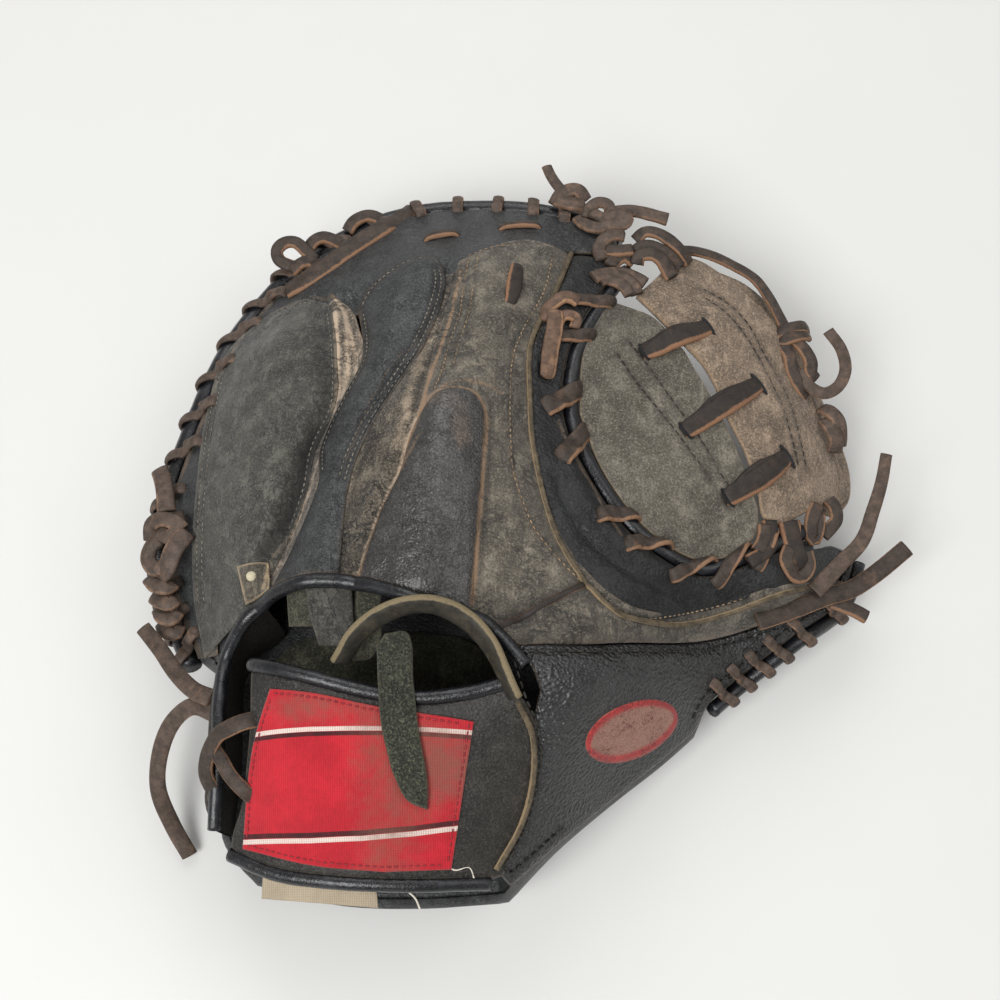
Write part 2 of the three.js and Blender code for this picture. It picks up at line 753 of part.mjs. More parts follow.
function weltPieces() {
  const section = flatSection(WELT.width, WELT.height);
  const welt = (line, steps) => onBack(line.map(([x, y]) => [x, y, WELT.above]), section, steps);
  return [
    { name: "crotch_welt", colour: 0x96826a, geometry: welt(WELT_LINE, 22) },
    { name: "strap_welt", colour: 0x96826a, geometry: welt(STRAP_RIGHT_LINE, 7) },
  ];
}

// Laces that hold pieces together: on the back as [x, y, height above it], the others as [x, y, z]
const ADJUST_STRAP = [
  [-57, -73, -5], [-50, -65, 4], [-40, -59, 6.4], [-25, -56, 6.4], [-12, -61, 6], [-3, -71, 5.4],
  [5, -86, 4.6],
];
const STRAP_LACE = [
  [-111, -80, 64], [-103, -83, 82], [-94, -89, 84], [-94, -95, 83], [-103, -99, 79], [-103, -105, 78],
  [-94, -109, 79], [-94, -114, 77], [-103, -118, 73], [-109, -119, 60],
];
const BAND_LACES = [
  [[-31, 117, 1.5], [-25, 118.5, 2.2], [-19, 119, 1.5]],
  [[1, 123, 1.5], [8, 124.5, 2.2], [16, 125, 1.5]],
];
const INDEX_LACE = [[5, 94, 1.4], [5.5, 85, 1.7], [5, 75, 1.4]];
const FOLDED_LACE = [[18, 44, 1.9], [20, 60, 2.6], [27, 76, 3.6], [33, 88, 3.6]];
const WEB_TOP_LACE = [
  [83.5, 117.8, 55.4], [98.3, 114, 51.2], [110, 106.8, 49.5], [118.8, 96, 49.3], [123.8, 84.5, 50.3],
];

function lacePieces() {
  return [
    { name: "adjust_strap", colour: 0x7d7562, geometry: onBack(ADJUST_STRAP, flatSection(6, 2), 12) },
    { name: "strap_lace", colour: 0x4d3b33, geometry: flatLace(STRAP_LACE, 22, flatSection(3.6, 1.8)) },
    {
      name: "band_lace_1",
      colour: 0x8a5d42,
      geometry: onBack(BAND_LACES[0], flatSection(LACE.width, LACE.thickness), 3),
    },
    {
      name: "band_lace_2",
      colour: 0x8a5d42,
      geometry: onBack(BAND_LACES[1], flatSection(LACE.width, LACE.thickness), 3),
    },
    {
      name: "index_lace",
      colour: 0x2b211e,
      geometry: onBack(INDEX_LACE, flatSection(LACE.width, LACE.thickness), 3),
    },
    { name: "folded_lace", colour: 0xa97b5c, geometry: onBack(FOLDED_LACE, flatSection(6, 2.2), 6) },
    { name: "web_top_lace", colour: 0x5a4436, geometry: flatLace(WEB_TOP_LACE, 9, flatSection(3.6, 2.2)) },
    ...WEB_LACES.map((lace) => ({ name: lace.name, colour: 0x4a3a32, geometry: webLace(lace) })),
  ];
}

const KNOTS = [
  { name: "rim_knot_upper", centre: [-92, 105, 59], size: 9, turn: [0.3, -0.3, 0.4] },
  { name: "rim_knot_lower", centre: [-131, -14, 48], size: 7, turn: [0, -0.6, 0] },
  { name: "top_knot", centre: [60, 110, 67.4], size: 9, turn: [-0.2, 0.1, 0.2] },
  { name: "web_knot", centre: [126.6, 71, 51.4], size: 7, turn: [0.2, 0.5, 0] },
  { name: "tip_knot", centre: [136, -8, 43.4], size: 8, turn: [0.2, 0.4, 0.3] },
];

// Free lace ends, each point as [x, y, z]
const TAILS = [
  {
    name: "tail_left_upper",
    points: [[-109, -80, 62], [-117, -76, 56], [-126, -68, 49], [-135, -57, 43], [-144, -47, 38]],
  },
  {
    name: "tail_left_lower",
    points: [
      [-106, -86, 58], [-116, -82, 56], [-126, -86, 47], [-133, -96, 36], [-136, -109, 23], [-132, -122, 11],
      [-126, -133, 3.5],
    ],
  },
  {
    name: "tail_right_upper",
    points: [[126, -34, 46.3], [136, -24, 46.6], [147, -13, 47], [153, 0, 46], [158, 13, 46], [161, 25, 47]],
  },
  {
    name: "tail_right_lower",
    points: [
      [101, -48, 52.4], [112, -44, 50], [121, -40, 46.5], [132, -35, 42], [143, -31, 38.5], [154, -24, 37],
      [168, -13, 38],
    ],
  },
  {
    name: "tail_web",
    points: [
      [127.2, 62.4, 49.6], [131, 55, 49.5], [137, 52, 49], [143, 55, 49], [147, 63, 49], [146, 73, 49],
      [141, 81, 50],
    ],
  },
  { name: "tail_top", points: [[38, 136, 55.4], [33, 141, 57], [27, 148, 56], [23, 156, 54], [21, 162, 53]] },
];

function knotPieces() {
  return KNOTS.map(({ name, centre, size, turn }) => ({
    name,
    colour: 0x4a3830,
    geometry: knot(centre, size, turn),
  }));
}

function tailPieces() {
  const section = laceSection(LACE.width, LACE.thickness);
  return TAILS.map(({ name, points }) => ({
    name,
    colour: 0x4a3830,
    geometry: flatLace(points, points.length, section),
  }));
}

// The whole mitt
function makeMesh({ name, colour, solid, tolerance, geometry }) {
  const shape = solid ? geometryFrom(solid, tolerance) : geometry;
  const material = new THREE.MeshStandardMaterial({ color: colour, roughness: 0.75, metalness: 0 });
  const mesh = new THREE.Mesh(shape, material);
  mesh.name = name;
  return mesh;
}

const mitt = new THREE.Group();
mitt.position.set(PLAN_SHIFT.x, PLAN_SHIFT.y, 0);
const pieces = [
  { name: "palm", colour: 0x1f2022, solid: palm(), tolerance: PALM_TOLERANCE },
  ...backPanels(),
  ...webPieces(),
  ...laidPieces(),
  ...openingPieces(),
  ...edgePieces(),
  ...weltPieces(),
  ...lacePieces(),
  ...knotPieces(),
  ...tailPieces(),
];
for (const piece of pieces) {
  mitt.add(makeMesh(piece));
}

export default mitt;
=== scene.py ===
import math

import bpy
import numpy as np
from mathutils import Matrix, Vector, geometry, noise


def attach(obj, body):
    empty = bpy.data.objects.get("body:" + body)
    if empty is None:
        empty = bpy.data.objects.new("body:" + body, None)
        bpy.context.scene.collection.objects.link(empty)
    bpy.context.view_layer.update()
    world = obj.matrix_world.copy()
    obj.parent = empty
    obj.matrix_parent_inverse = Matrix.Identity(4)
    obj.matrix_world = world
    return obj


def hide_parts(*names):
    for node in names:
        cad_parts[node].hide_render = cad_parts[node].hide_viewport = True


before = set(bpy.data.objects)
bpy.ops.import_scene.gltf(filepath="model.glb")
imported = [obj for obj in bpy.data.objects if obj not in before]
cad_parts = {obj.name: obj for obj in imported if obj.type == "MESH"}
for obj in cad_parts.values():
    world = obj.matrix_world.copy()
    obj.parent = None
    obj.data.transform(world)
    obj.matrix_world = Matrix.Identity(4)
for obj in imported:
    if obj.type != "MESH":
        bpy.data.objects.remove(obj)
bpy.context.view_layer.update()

bl_info = {
    "name": "Worn Catcher Mitt",
    "version": (1, 0, 0),
    "blender": (4, 5, 0),
    "location": "View3D > Sidebar > Mitt",
    "description": "Builds a worn leather catcher mitt on its packed frame",
    "category": "Add Mesh",
}

# Plan millimetres are the CAD's own, and the whole plan is moved by SHIFT to stand in the row frame
SHIFT = (-3.7, 2.4)

# Heights of the back, as the CAD has them: x, y, z
BACK_HEIGHTS = [
    # rim
    (-120, -63, 36), (-143, -10, 34), (-137, 30, 36), (-106, 99, 40), (-69, 134, 44), (-9, 146, 48),
    (44, 136, 52),
    # little finger
    (-112, 0, 60), (-104, 48, 62), (-88, -30, 74), (-75, 85, 68),
    # ring and middle finger
    (-60, 40, 84), (-62, -5, 92), (-30, 105, 72), (-25, 60, 88),
    # index finger
    (0, 60, 88), (5, 105, 74), (-14, 28, 100),
    # back of the hand
    (-21, -11, 104), (-48, -47, 99), (-88, -48, 82), (4, -66, 97),
    # crotch
    (30, 114, 66), (12, 31, 86), (22, -27, 90), (52, -49, 80), (109, -37, 56),
    # thumb
    (30, -90, 84), (60, -78, 60), (99, -69, 20), (43, -113, 34), (140, -35, 22), (20, -130, 52),
    (118, -70, 9), (75, -100, 18),
    # strap
    (-96, -80, 80), (-40, -86, 97), (4, -84, 97), (-94, -132, 66), (-43, -148, 74), (3, -150, 58),
    (-45, -115, 90),
    # inner web
    (50, 80, 70), (34, 36, 76), (78, -27, 66), (100, -17, 60), (72, 25, 72),
    # outer web
    (82, 111, 56), (110, 80, 56), (128, 67, 44), (120, 25, 56), (153, 11, 26), (146, -12, 28),
]
LEAST_HEIGHT = 6

# The square of plan that the tables cover, and how finely they do
PLAN_LOW, PLAN_HIGH = -175, 186
SKIN_STEP, MARK_STEP = 1.0, 0.8

# Lines in plan, as the CAD has them
RIM_LINE = [(-126, -60), (-139, -32), (-141, 8), (-129, 50), (-111, 93), (-86, 121), (-44, 142), (0, 144),
            (36, 135), (53, 124)]
CROTCH_LINE = [(54, 103), (43, 84), (31, 58), (28, 30), (36, 5), (54, -20), (76, -30), (101, -22), (126, -8)]
THUMB_LINE = [(153, -14), (146, -32), (120, -52), (98, -68), (86, -78)]
OPENING_LINE = [(-104, -128), (-103, -98), (-104, -82), (-103, -64), (-88, -48), (-67, -44), (-50, -46),
                (-20, -57), (-6, -60), (9, -76)]
STRAP_TOP_LINE = [(-89, -73), (-65, -80), (-45, -85), (-28, -87), (-10, -85), (2, -82)]
STRAP_BOTTOM_LINE = [(-97, -137), (-79, -144), (-57, -147), (-32, -148), (-4, -147)]
STRAP_RIGHT_LINE = [(6, -88), (11, -98), (11, -112), (7, -126), (-2, -142)]
WELT_LINE = [(30, 108), (22, 83), (12, 58), (11, 34), (12, 10), (22, -28), (40, -52), (60, -54), (92, -44),
             (128, -30)]
SEAM_LINE = [(-1, -62), (4, -59), (11, -55), (20, -50), (26, -47), (30, -44)]
CREASE_LINE = [(0, -68), (28, -66), (51, -62), (70, -58), (96, -50), (122, -40), (142, -24)]

# Folds and swellings that the CAD is too coarse for: line in plan, width, height, both in millimetres
RELIEF = [
    ([(-62, 84), (-58, 66), (-60, 50), (-67, 28), (-73, 8), (-76, -8), (-83, -28), (-91, -46)], 5.5, -6.0),
    ([(-76, 88), (-70, 62), (-69, 34), (-76, 6), (-82, -16)], 4.5, -3.2),
    ([(-24, 96), (-23, 84), (-28, 60), (-38, 44), (-50, 18), (-56, -4), (-58, -40)], 3.5, -2.2),
    ([(-16, 90), (-20, 66), (-26, 40), (-31, 12), (-42, -16), (-51, -44)], 3.2, -2.0),
    ([(30, 108), (20, 80), (11, 54), (11, 20), (16, -11), (26, -36), (44, -54)], 3.4, -1.8),
    ([(8, -58), (28, -66), (51, -63), (72, -59), (100, -50), (128, -38)], 4.0, -3.0),
    ([(-1, -62), (11, -55), (20, -50), (30, -44)], 2.2, -1.9),
    ([(-20, 20), (-22, 0), (-27, -28), (-30, -56)], 13.0, 5.0),
    ([(-4, 22), (-4, -4), (-6, -30), (-8, -54)], 2.4, -1.6),
    ([(-98, 60), (-102, 30), (-104, 0), (-100, -30)], 17.0, 4.4),
    ([(-92, 64), (-90, 34), (-92, 8), (-98, -18)], 11.0, 2.6),
    ([(-36, 96), (-42, 76), (-44, 62)], 8.0, 2.4),
    ([(-46, 50), (-56, 28), (-62, 6), (-66, -20), (-72, -44)], 7.0, 2.6),
    ([(0, 100), (-2, 70), (-3, 46)], 13.0, 2.8),
    ([(-36, 30), (-38, 10), (-48, -20)], 4.0, 1.4),
    ([(4, 30), (5, 5), (8, -14)], 5.0, 1.3),
    ([(5, 4), (6, -16), (9, -24), (3, -42), (-2, -50)], 2.2, -1.1),
    ([(14, -34), (26, -47)], 6.0, 1.4),
    ([(24, 0), (36, -24), (52, -40)], 7.0, 1.6),
    ([(10, -80), (40, -84), (70, -72)], 12.0, 2.6),
    ([(0, -120), (20, -104), (36, -112)], 10.0, 1.4),
    ([(-8, 52), (2, 57), (9, 66)], 1.8, -0.6),
    ([(-14, 46), (-4, 49), (8, 57)], 1.8, -0.7),
    ([(-16, 39), (-6, 42), (6, 48)], 1.8, -0.6),
    ([(32, -64), (52, -72), (74, -66)], 3.0, -0.9),
    ([(18, -72), (42, -80), (66, -76)], 3.0, -0.7),
    ([(118, 86), (127, 72), (133, 56), (138, 40)], 2.4, 1.0),
    ([(26, 8), (34, -10), (48, -26), (70, -36)], 3.0, 1.6),
    ([(20, 0), (30, -22), (46, -36), (72, -43)], 2.2, -1.4),
    ([(40, -46), (70, -50), (104, -40)], 2.4, 1.0),
]

# Lines where the dye is rubbed off to the tan hide: line in plan, half width, strength
RUBBED = [
    ([(23, 25), (25, 18), (31, 4), (36, -4), (40, -13), (46, -23)], 1.0, 0.75),
    ([(-37, -4), (-33, 11), (-28, 23), (-23, 28), (-16, 29), (-10, 28), (-6, 23), (-5, 16), (-6, 0),
      (-7, -17), (-8, -30), (-9, -43), (-10, -54)], 1.2, 0.8),
    ([(-22, 30), (-18, 32), (-12, 33), (-5, 33), (1, 30)], 1.5, 0.6),
    ([(-5, 20), (-2, 15), (3, 4), (4, -7), (7, -19), (7, -25), (4, -36), (-1, -48)], 1.0, 0.3),
    ([(6, 78), (5, 62), (5, 48), (4, 33), (3, 13), (5, -2), (8, -15), (12, -24), (19, -32), (27, -41),
      (34, -48), (46, -53), (56, -55)], 1.4, 0.45),
    ([(-16, 93), (-18, 81), (-19, 72), (-21, 62), (-24, 49), (-27, 36), (-29, 23), (-31, 15), (-35, 4)], 1.0,
     0.85),
    ([(-13, 99), (-15, 81), (-16, 70), (-20, 53), (-22, 40), (-25, 28)], 0.8, 0.6),
    ([(-16, 99), (-8, 104), (-1, 107), (4, 108), (13, 111), (20, 111), (25, 108), (27, 102), (24, 86),
      (18, 71), (14, 57)], 1.1, 0.55),
    ([(22, 103), (19, 85), (14, 70), (10, 56)], 0.8, 0.45),
    ([(-100, 89), (-86, 88), (-79, 91), (-72, 87)], 1.4, 0.6),
    ([(-71, 89), (-66, 82), (-61, 67), (-58, 54), (-57, 45)], 1.3, 0.85),
    ([(-68, 78), (-66, 60), (-65, 43), (-66, 31)], 1.6, 0.95),
    ([(-64, 80), (-62, 63), (-61, 46), (-63, 36)], 1.3, 0.8),
    ([(-55, 50), (-57, 63), (-57, 76), (-55, 85), (-47, 94), (-38, 100), (-30, 102), (-25, 97), (-24, 90),
      (-25, 79), (-27, 73), (-31, 63), (-34, 54), (-40, 48), (-46, 36), (-50, 27), (-55, 11), (-58, 2)], 0.9,
     0.6),
    ([(-27, 66), (-29, 53), (-33, 37), (-35, 22), (-38, 6)], 4.2, 0.5),
    ([(-117, 86), (-120, 67), (-122, 46), (-123, 32), (-122, 11), (-121, -7), (-123, -20), (-122, -40)], 1.2,
     0.5),
    ([(-120, -58), (-100, -61)], 1.2, 0.6),
    ([(-70, 9), (-73, -2), (-78, -15), (-83, -24), (-87, -30), (-89, -42)], 1.4, 0.7),
    ([(-49, 11), (-54, 0), (-57, -13), (-59, -26), (-60, -45)], 0.7, 0.55),
    ([(-30, 8), (-37, -5), (-42, -15), (-47, -28), (-50, -39), (-52, -50)], 1.1, 0.75),
    ([(-101, -31), (-89, -32)], 0.8, 0.5),
    ([(-90, -42), (-60, -41), (-50, -43)], 1.0, 0.6),
    ([(8, -88), (9, -100), (8, -112), (5, -124), (0, -136)], 2.2, 0.35),
    ([(116, 86), (125, 74), (131, 59), (135, 45), (140, 30)], 1.0, 0.4),
    ([(-24, 24), (-15, 18), (-14, 6)], 9.0, 0.42),
    ([(-121, -57), (-133, -31), (-135, 8), (-123, 48), (-106, 89), (-82, 116)], 1.7, 0.75),
]
# Lines darkened with painted shade in valleys, creases and beside raised edges, and along the dark heel seam:
# line in plan, half width, strength
DARKENED = [
    (SEAM_LINE, 1.9, 1.1),
    ([(2, -60), (10, -65), (18, -67)], 0.8, 0.6),
    ([(2, -60), (-6, -66)], 0.8, 0.5),
    ([(0, -59), (-6, -56), (-12, -56)], 0.8, 0.5),
    ([(-68, 24), (-75, 12), (-78, -4), (-84, -16), (-90, -28)], 3.0, 0.8),
    ([(-4.5, 22), (-3.5, 16), (-4.3, 0), (-5.2, -17), (-6.2, -30), (-7.4, -46)], 0.6, 0.9),
    ([(-47, 11), (-52, 0), (-55, -13), (-57, -26), (-58, -45)], 0.7, 0.9),
    ([(-18, 93), (-20, 81), (-22, 66), (-26, 49), (-30, 36), (-33, 20)], 0.8, 0.7),
    ([(-23, 96), (-22, 86), (-25, 76), (-32, 60)], 0.9, 0.8),
    ([(3, -67), (28, -66), (51, -62), (72, -57)], 1.6, 0.5),
    ([(5, 4), (6, -16), (9, -24), (3, -42)], 0.8, 0.4),
    ([(-72, 70), (-70, 50), (-70, 34)], 1.4, 0.5),
    ([(-46, -2), (-54, -30), (-56, -55)], 7.0, 0.25),
    ([(40, 78), (50, 82)], 8.0, 0.4),
    ([(-30, -36), (-28, -60)], 12.0, 0.45),
    ([(2, -62), (20, -62), (34, -60)], 0.8, 0.6),
    ([(-2, -50), (20, -60), (60, -54), (100, -44)], 7.0, 0.22),
    ([(14, 36), (10, 10), (16, -16), (30, -40)], 3.0, 0.25),
]


class Table:
    """Reads a height table between its grid points."""

    def __init__(self, heights, low, step):
        self.heights, self.low, self.step = heights, low, step

    def __call__(self, x, y):
        rows, columns = self.heights.shape
        u = np.clip((np.asarray(x, float) - self.low) / self.step, 0, columns - 1.001)
        v = np.clip((np.asarray(y, float) - self.low) / self.step, 0, rows - 1.001)
        i, j = u.astype(int), v.astype(int)
        s, t = u - i, v - j
        h = self.heights
        low = h[j, i] * (1 - s) + h[j, i + 1] * s
        high = h[j + 1, i] * (1 - s) + h[j + 1, i + 1] * s
        return low * (1 - t) + high * t


def thin_plate(points):
    """A thin-plate spline through points, as a function of arrays x and y."""
    points = np.array(points, float)
    count = len(points)

    def kernel(r2):
        return 0.5 * r2 * np.log(np.maximum(r2, 1e-9))

    gaps = ((points[:, None, :2] - points[None, :, :2]) ** 2).sum(-1)
    plane = np.hstack([np.ones((count, 1)), points[:, :2]])
    system = np.zeros((count + 3, count + 3))
    system[:count, :count] = kernel(gaps)
    system[:count, count:] = plane
    system[count:, :count] = plane.T
    weights = np.linalg.solve(system, np.append(points[:, 2], [0, 0, 0]))

    def height(x, y):
        z = weights[count] + weights[count + 1] * x + weights[count + 2] * y
        for (px, py, _), weight in zip(points, weights):
            z = z + weight * kernel((x - px) ** 2 + (y - py) ** 2)
        return np.maximum(z, LEAST_HEIGHT)

    return height


def smooth_line(points, step=2.0):
    """A smooth curve through points of any dimension, resampled at about one step."""
    points = np.array(points, float)
    ring = np.vstack([2 * points[0] - points[1], points, 2 * points[-1] - points[-2]])
    pieces = []
    for a, b, c, d in zip(ring, ring[1:], ring[2:], ring[3:]):
        ab, bc, cd = (max(np.linalg.norm(q - p), 1e-6) ** 0.5 for p, q in ((a, b), (b, c), (c, d)))
        start = (c - b) - (c - a) * bc / (ab + bc) + (b - a) * bc / ab if ab > 1e-6 else c - b
        end = (c - b) - (d - b) * bc / (bc + cd) + (d - c) * bc / cd if cd > 1e-6 else c - b
        t = np.linspace(0, 1, 24, endpoint=False)[:, None]
        pieces.append((2 * t**3 - 3 * t**2 + 1) * b + (t**3 - 2 * t**2 + t) * start
                      + (3 * t**2 - 2 * t**3) * c + (t**3 - t**2) * end)
    dense = np.vstack(pieces + [ring[-2][None]])
    return resampled(dense, step)


def read_at(places, lengths, rows):
    """The rows between which places lie, blended."""
    return np.stack([np.interp(places, lengths, column) for column in np.asarray(rows, float).T], -1)


def resampled(line, step):
    """Points at even distances along a polyline."""
    line = np.array(line, float)
    lengths = np.linalg.norm(np.diff(line, axis=0), axis=1)
    walked = np.append(0, np.cumsum(lengths))
    count = max(2, int(round(walked[-1] / step)))
    at = np.linspace(0, walked[-1], count + 1)
    return read_at(at, walked, line)


def joined_edges(*edges, step=1.8):
    """A closed outline from smooth edges, each of which ends where the next one starts."""
    points = []
    for edge, following in zip(edges, edges[1:] + edges[:1]):
        line = list(edge) + [following[0]]
        dense = smooth_line(line, step) if len(line) > 2 else resampled(line, step)
        points.append(dense[:-1])
    return np.vstack(points)


def beside(line, distance):
    """Moves a line in plan to the right of its direction, or to the left where distance is negative."""
    line = np.array(line, float)
    along = np.vstack([line[1:2] - line[:1], line[2:] - line[:-2], line[-1:] - line[-2:-1]])
    along /= np.linalg.norm(along, axis=1)[:, None]
    return line + distance * np.stack([along[:, 1], -along[:, 0]], -1)


def line_distance(x, y, line, closed=False):
    """How far each point in plan is from a polyline."""
    line = np.array(line, float)[:, :2]
    if closed:
        line = np.vstack([line, line[:1]])
    nearest = np.full(np.shape(x), 1e9)
    for (ax, ay), (bx, by) in zip(line, line[1:]):
        dx, dy = bx - ax, by - ay
        t = np.clip(((x - ax) * dx + (y - ay) * dy) / (dx * dx + dy * dy + 1e-12), 0, 1)
        nearest = np.minimum(nearest, np.hypot(x - ax - t * dx, y - ay - t * dy))
    return nearest


def inside(x, y, outline):
    """Which points in plan are inside a closed outline."""
    found = np.zeros(np.shape(x), bool)
    for (ax, ay), (bx, by) in zip(outline, np.roll(outline, -1, axis=0)):
        if ay != by:
            crosses = ((ay > y) != (by > y)) & (x < (bx - ax) * (y - ay) / (by - ay) + ax)
            found ^= crosses
    return found


def make_skin():
    """The back surface with its folds, as a table that is quick to read."""
    places = np.arange(PLAN_LOW, PLAN_HIGH, SKIN_STEP)
    xs, ys = np.meshgrid(places, places)
    z = thin_plate(BACK_HEIGHTS)(xs, ys)
    for line, width, height in RELIEF:
        z += height * np.exp(-((line_distance(xs, ys, smooth_line(line, 4)) / width) ** 2))
    return Table(np.maximum(z, LEAST_HEIGHT - 2), PLAN_LOW, SKIN_STEP)


def line_table(lines):
    """How strongly any of some lines marks each place."""
    places = np.arange(PLAN_LOW, PLAN_HIGH, MARK_STEP)
    xs, ys = np.meshgrid(places, places)
    marked = np.zeros_like(xs)
    for line, width, strength in lines:
        line = smooth_line(line, 2.5)
        (low_x, low_y), (high_x, high_y) = line.min(0) - 3 * width, line.max(0) + 3 * width
        near = (xs > low_x) & (xs < high_x) & (ys > low_y) & (ys < high_y)
        distance = line_distance(xs[near], ys[near], line)
        marked[near] = np.maximum(marked[near], strength * np.exp(-((distance / width) ** 2)))
    return Table(marked, PLAN_LOW, MARK_STEP)


skin, rubbed_at, darkened_at = make_skin(), line_table(RUBBED), line_table(DARKENED)


def skin_normal(x, y, reach=2.0):
    """The direction straight out of the back surface."""
    dx = (skin(x + reach, y) - skin(x - reach, y)) / (2 * reach)
    dy = (skin(x, y + reach) - skin(x, y - reach)) / (2 * reach)
    normal = np.stack([-dx, -dy, np.ones_like(dx)], -1)
    return normal / np.linalg.norm(normal, axis=-1, keepdims=True)


def wobble(points, scale, seed=0.0):
    """Smooth noise from -1 to 1 at points in millimetres, with lumps about scale wide."""
    shift = Vector((seed * 17.3, seed * -9.1, seed * 5.7))
    return np.array([noise.noise(Vector(p) / scale + shift) for p in np.asarray(points, float)])


# Meshes
class Shape:
    """Collects vertices in plan millimetres, faces and one number for each vertex and attribute."""

    def __init__(self):
        self.points, self.faces, self.marks = [], [], {}

    def add(self, points, faces, **marks):
        start = len(self.points)
        points = [tuple(map(float, p)) for p in points]
        for name in set(self.marks) | set(marks):
            values = self.marks.setdefault(name, [0.0] * start)
            given = marks.get(name, 0.0)
            values.extend([float(given)] * len(points) if np.isscalar(given) else [float(v) for v in given])
        self.points.extend(points)
        self.faces.extend(tuple(start + int(k) for k in face) for face in faces)

    def object(self, name, material, nodes=(), slot="lace"):
        """Makes the Blender object in the row frame. It rides on the mitt and stands for the CAD nodes."""
        mesh = bpy.data.meshes.new(name)
        coordinates = (np.array(self.points) + (SHIFT[0], SHIFT[1], 0)) / 1000
        mesh.from_pydata([tuple(p) for p in coordinates], [], self.faces)
        mesh.validate()
        for mark, values in self.marks.items():
            attribute = mesh.attributes.new(mark, "FLOAT", "POINT")
            attribute.data.foreach_set("value", np.array(values, np.float32))
        mesh.polygons.foreach_set("use_smooth", [True] * len(mesh.polygons))
        mesh.materials.append(material)
        mesh.update()
        thing = bpy.data.objects.new(name, mesh)
        bpy.context.scene.collection.objects.link(thing)
        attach(thing, "root")
        if nodes:
            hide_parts(*nodes)
        return thing


def swept(shape, path, ups, section, scale=None, **rest):
    """Sweeps a section along a path and closes both ends. The section's y axis points along ups."""
    path, (section, marks) = np.array(path, float), section
    section = np.array(section, float)
    ups = np.broadcast_to(np.array(ups, float), path.shape)
    along = np.vstack([path[1:2] - path[:1], path[2:] - path[:-2], path[-1:] - path[-2:-1]])
    along /= np.maximum(np.linalg.norm(along, axis=1), 1e-9)[:, None]
    side = np.cross(along, ups)
    side /= np.maximum(np.linalg.norm(side, axis=1), 1e-9)[:, None]
    top = np.cross(side, along)
    size = np.ones(len(path)) if scale is None else np.array(scale, float)
    rings = path[:, None] + size[:, None, None] * (
        section[None, :, :1] * side[:, None] + section[None, :, 1:2] * top[:, None])
    count, sides = len(path), len(section)
    faces = []
    for i in range(count - 1):
        for k in range(sides):
            a, b = i * sides, (i + 1) * sides
            faces.append((a + k, a + (k + 1) % sides, b + (k + 1) % sides, b + k))
    faces.append(tuple(range(sides - 1, -1, -1)))
    faces.append(tuple((count - 1) * sides + k for k in range(sides)))
    tagged = {name: np.tile(values, count) for name, values in marks}
    tagged["along"] = np.repeat(np.append(0, np.cumsum(np.linalg.norm(np.diff(path, axis=0), axis=1))), sides)
    tagged.update(rest)
    shape.add(rings.reshape(-1, 3), faces, **tagged)


def flat_section(width, thickness, crown=0.25):
    """A lace's section, crowned above and with soft long edges, and its edge marks."""
    w, t = width / 2, thickness / 2
    points = [(-w, -0.5 * t), (-0.86 * w, -t), (0, -t), (0.86 * w, -t), (w, -0.5 * t), (w, 0.4 * t),
              (0.82 * w, 0.9 * t), (0.4 * w, t + 0.7 * crown), (0, t + crown), (-0.4 * w, t + 0.7 * crown),
              (-0.82 * w, 0.9 * t), (-w, 0.4 * t)]
    edge = [1, 0.7, 0, 0.7, 1, 1, 0.35, 0, 0, 0, 0.35, 1]
    return points, [("edge", edge)]


def lit_section(width, thickness):
    """A lace's section with a pale bare right edge and a dyed left one: the one-sided paleness is a painted
    lit side.
    """
    points, _ = flat_section(width, thickness)
    return points, [("edge", [0.3, 0.2, 0, 0.8, 1, 1, 0.95, 0.3, 0, 0, 0, 0.2])]


def round_section(radius, sides):
    """The section of a cord or a roll."""
    turns = np.arange(sides) * 2 * math.pi / sides
    return radius * np.stack([np.cos(turns), np.sin(turns)], -1), ()


def ribbon(shape, points, width, thickness, up, wave=0.0, seed=0):
    """A flat lace through points in space, with its top side turned to one direction."""
    path = smooth_line(points, 1.2)
    swept(shape, path, up, flat_section(width, thickness),
          scale=1 + wave * wobble(path, 6, seed))


def over_skin(line, above, step=2.0):
    """A line in plan laid over the back: points [x, y, height above], returned as points and directions."""
    points = smooth_line([(x, y, h) for (x, y), h in zip(line, above)], step)
    x, y, h = points.T
    normal = skin_normal(x, y)
    return np.stack([x, y, skin(x, y)], -1) + normal * h[:, None], normal


STITCH_RINGS = ((-1.0, 0.35), (-0.8, 0.85), (-0.3, 1.0), (0.3, 1.0), (0.8, 0.85), (1.0, 0.35))


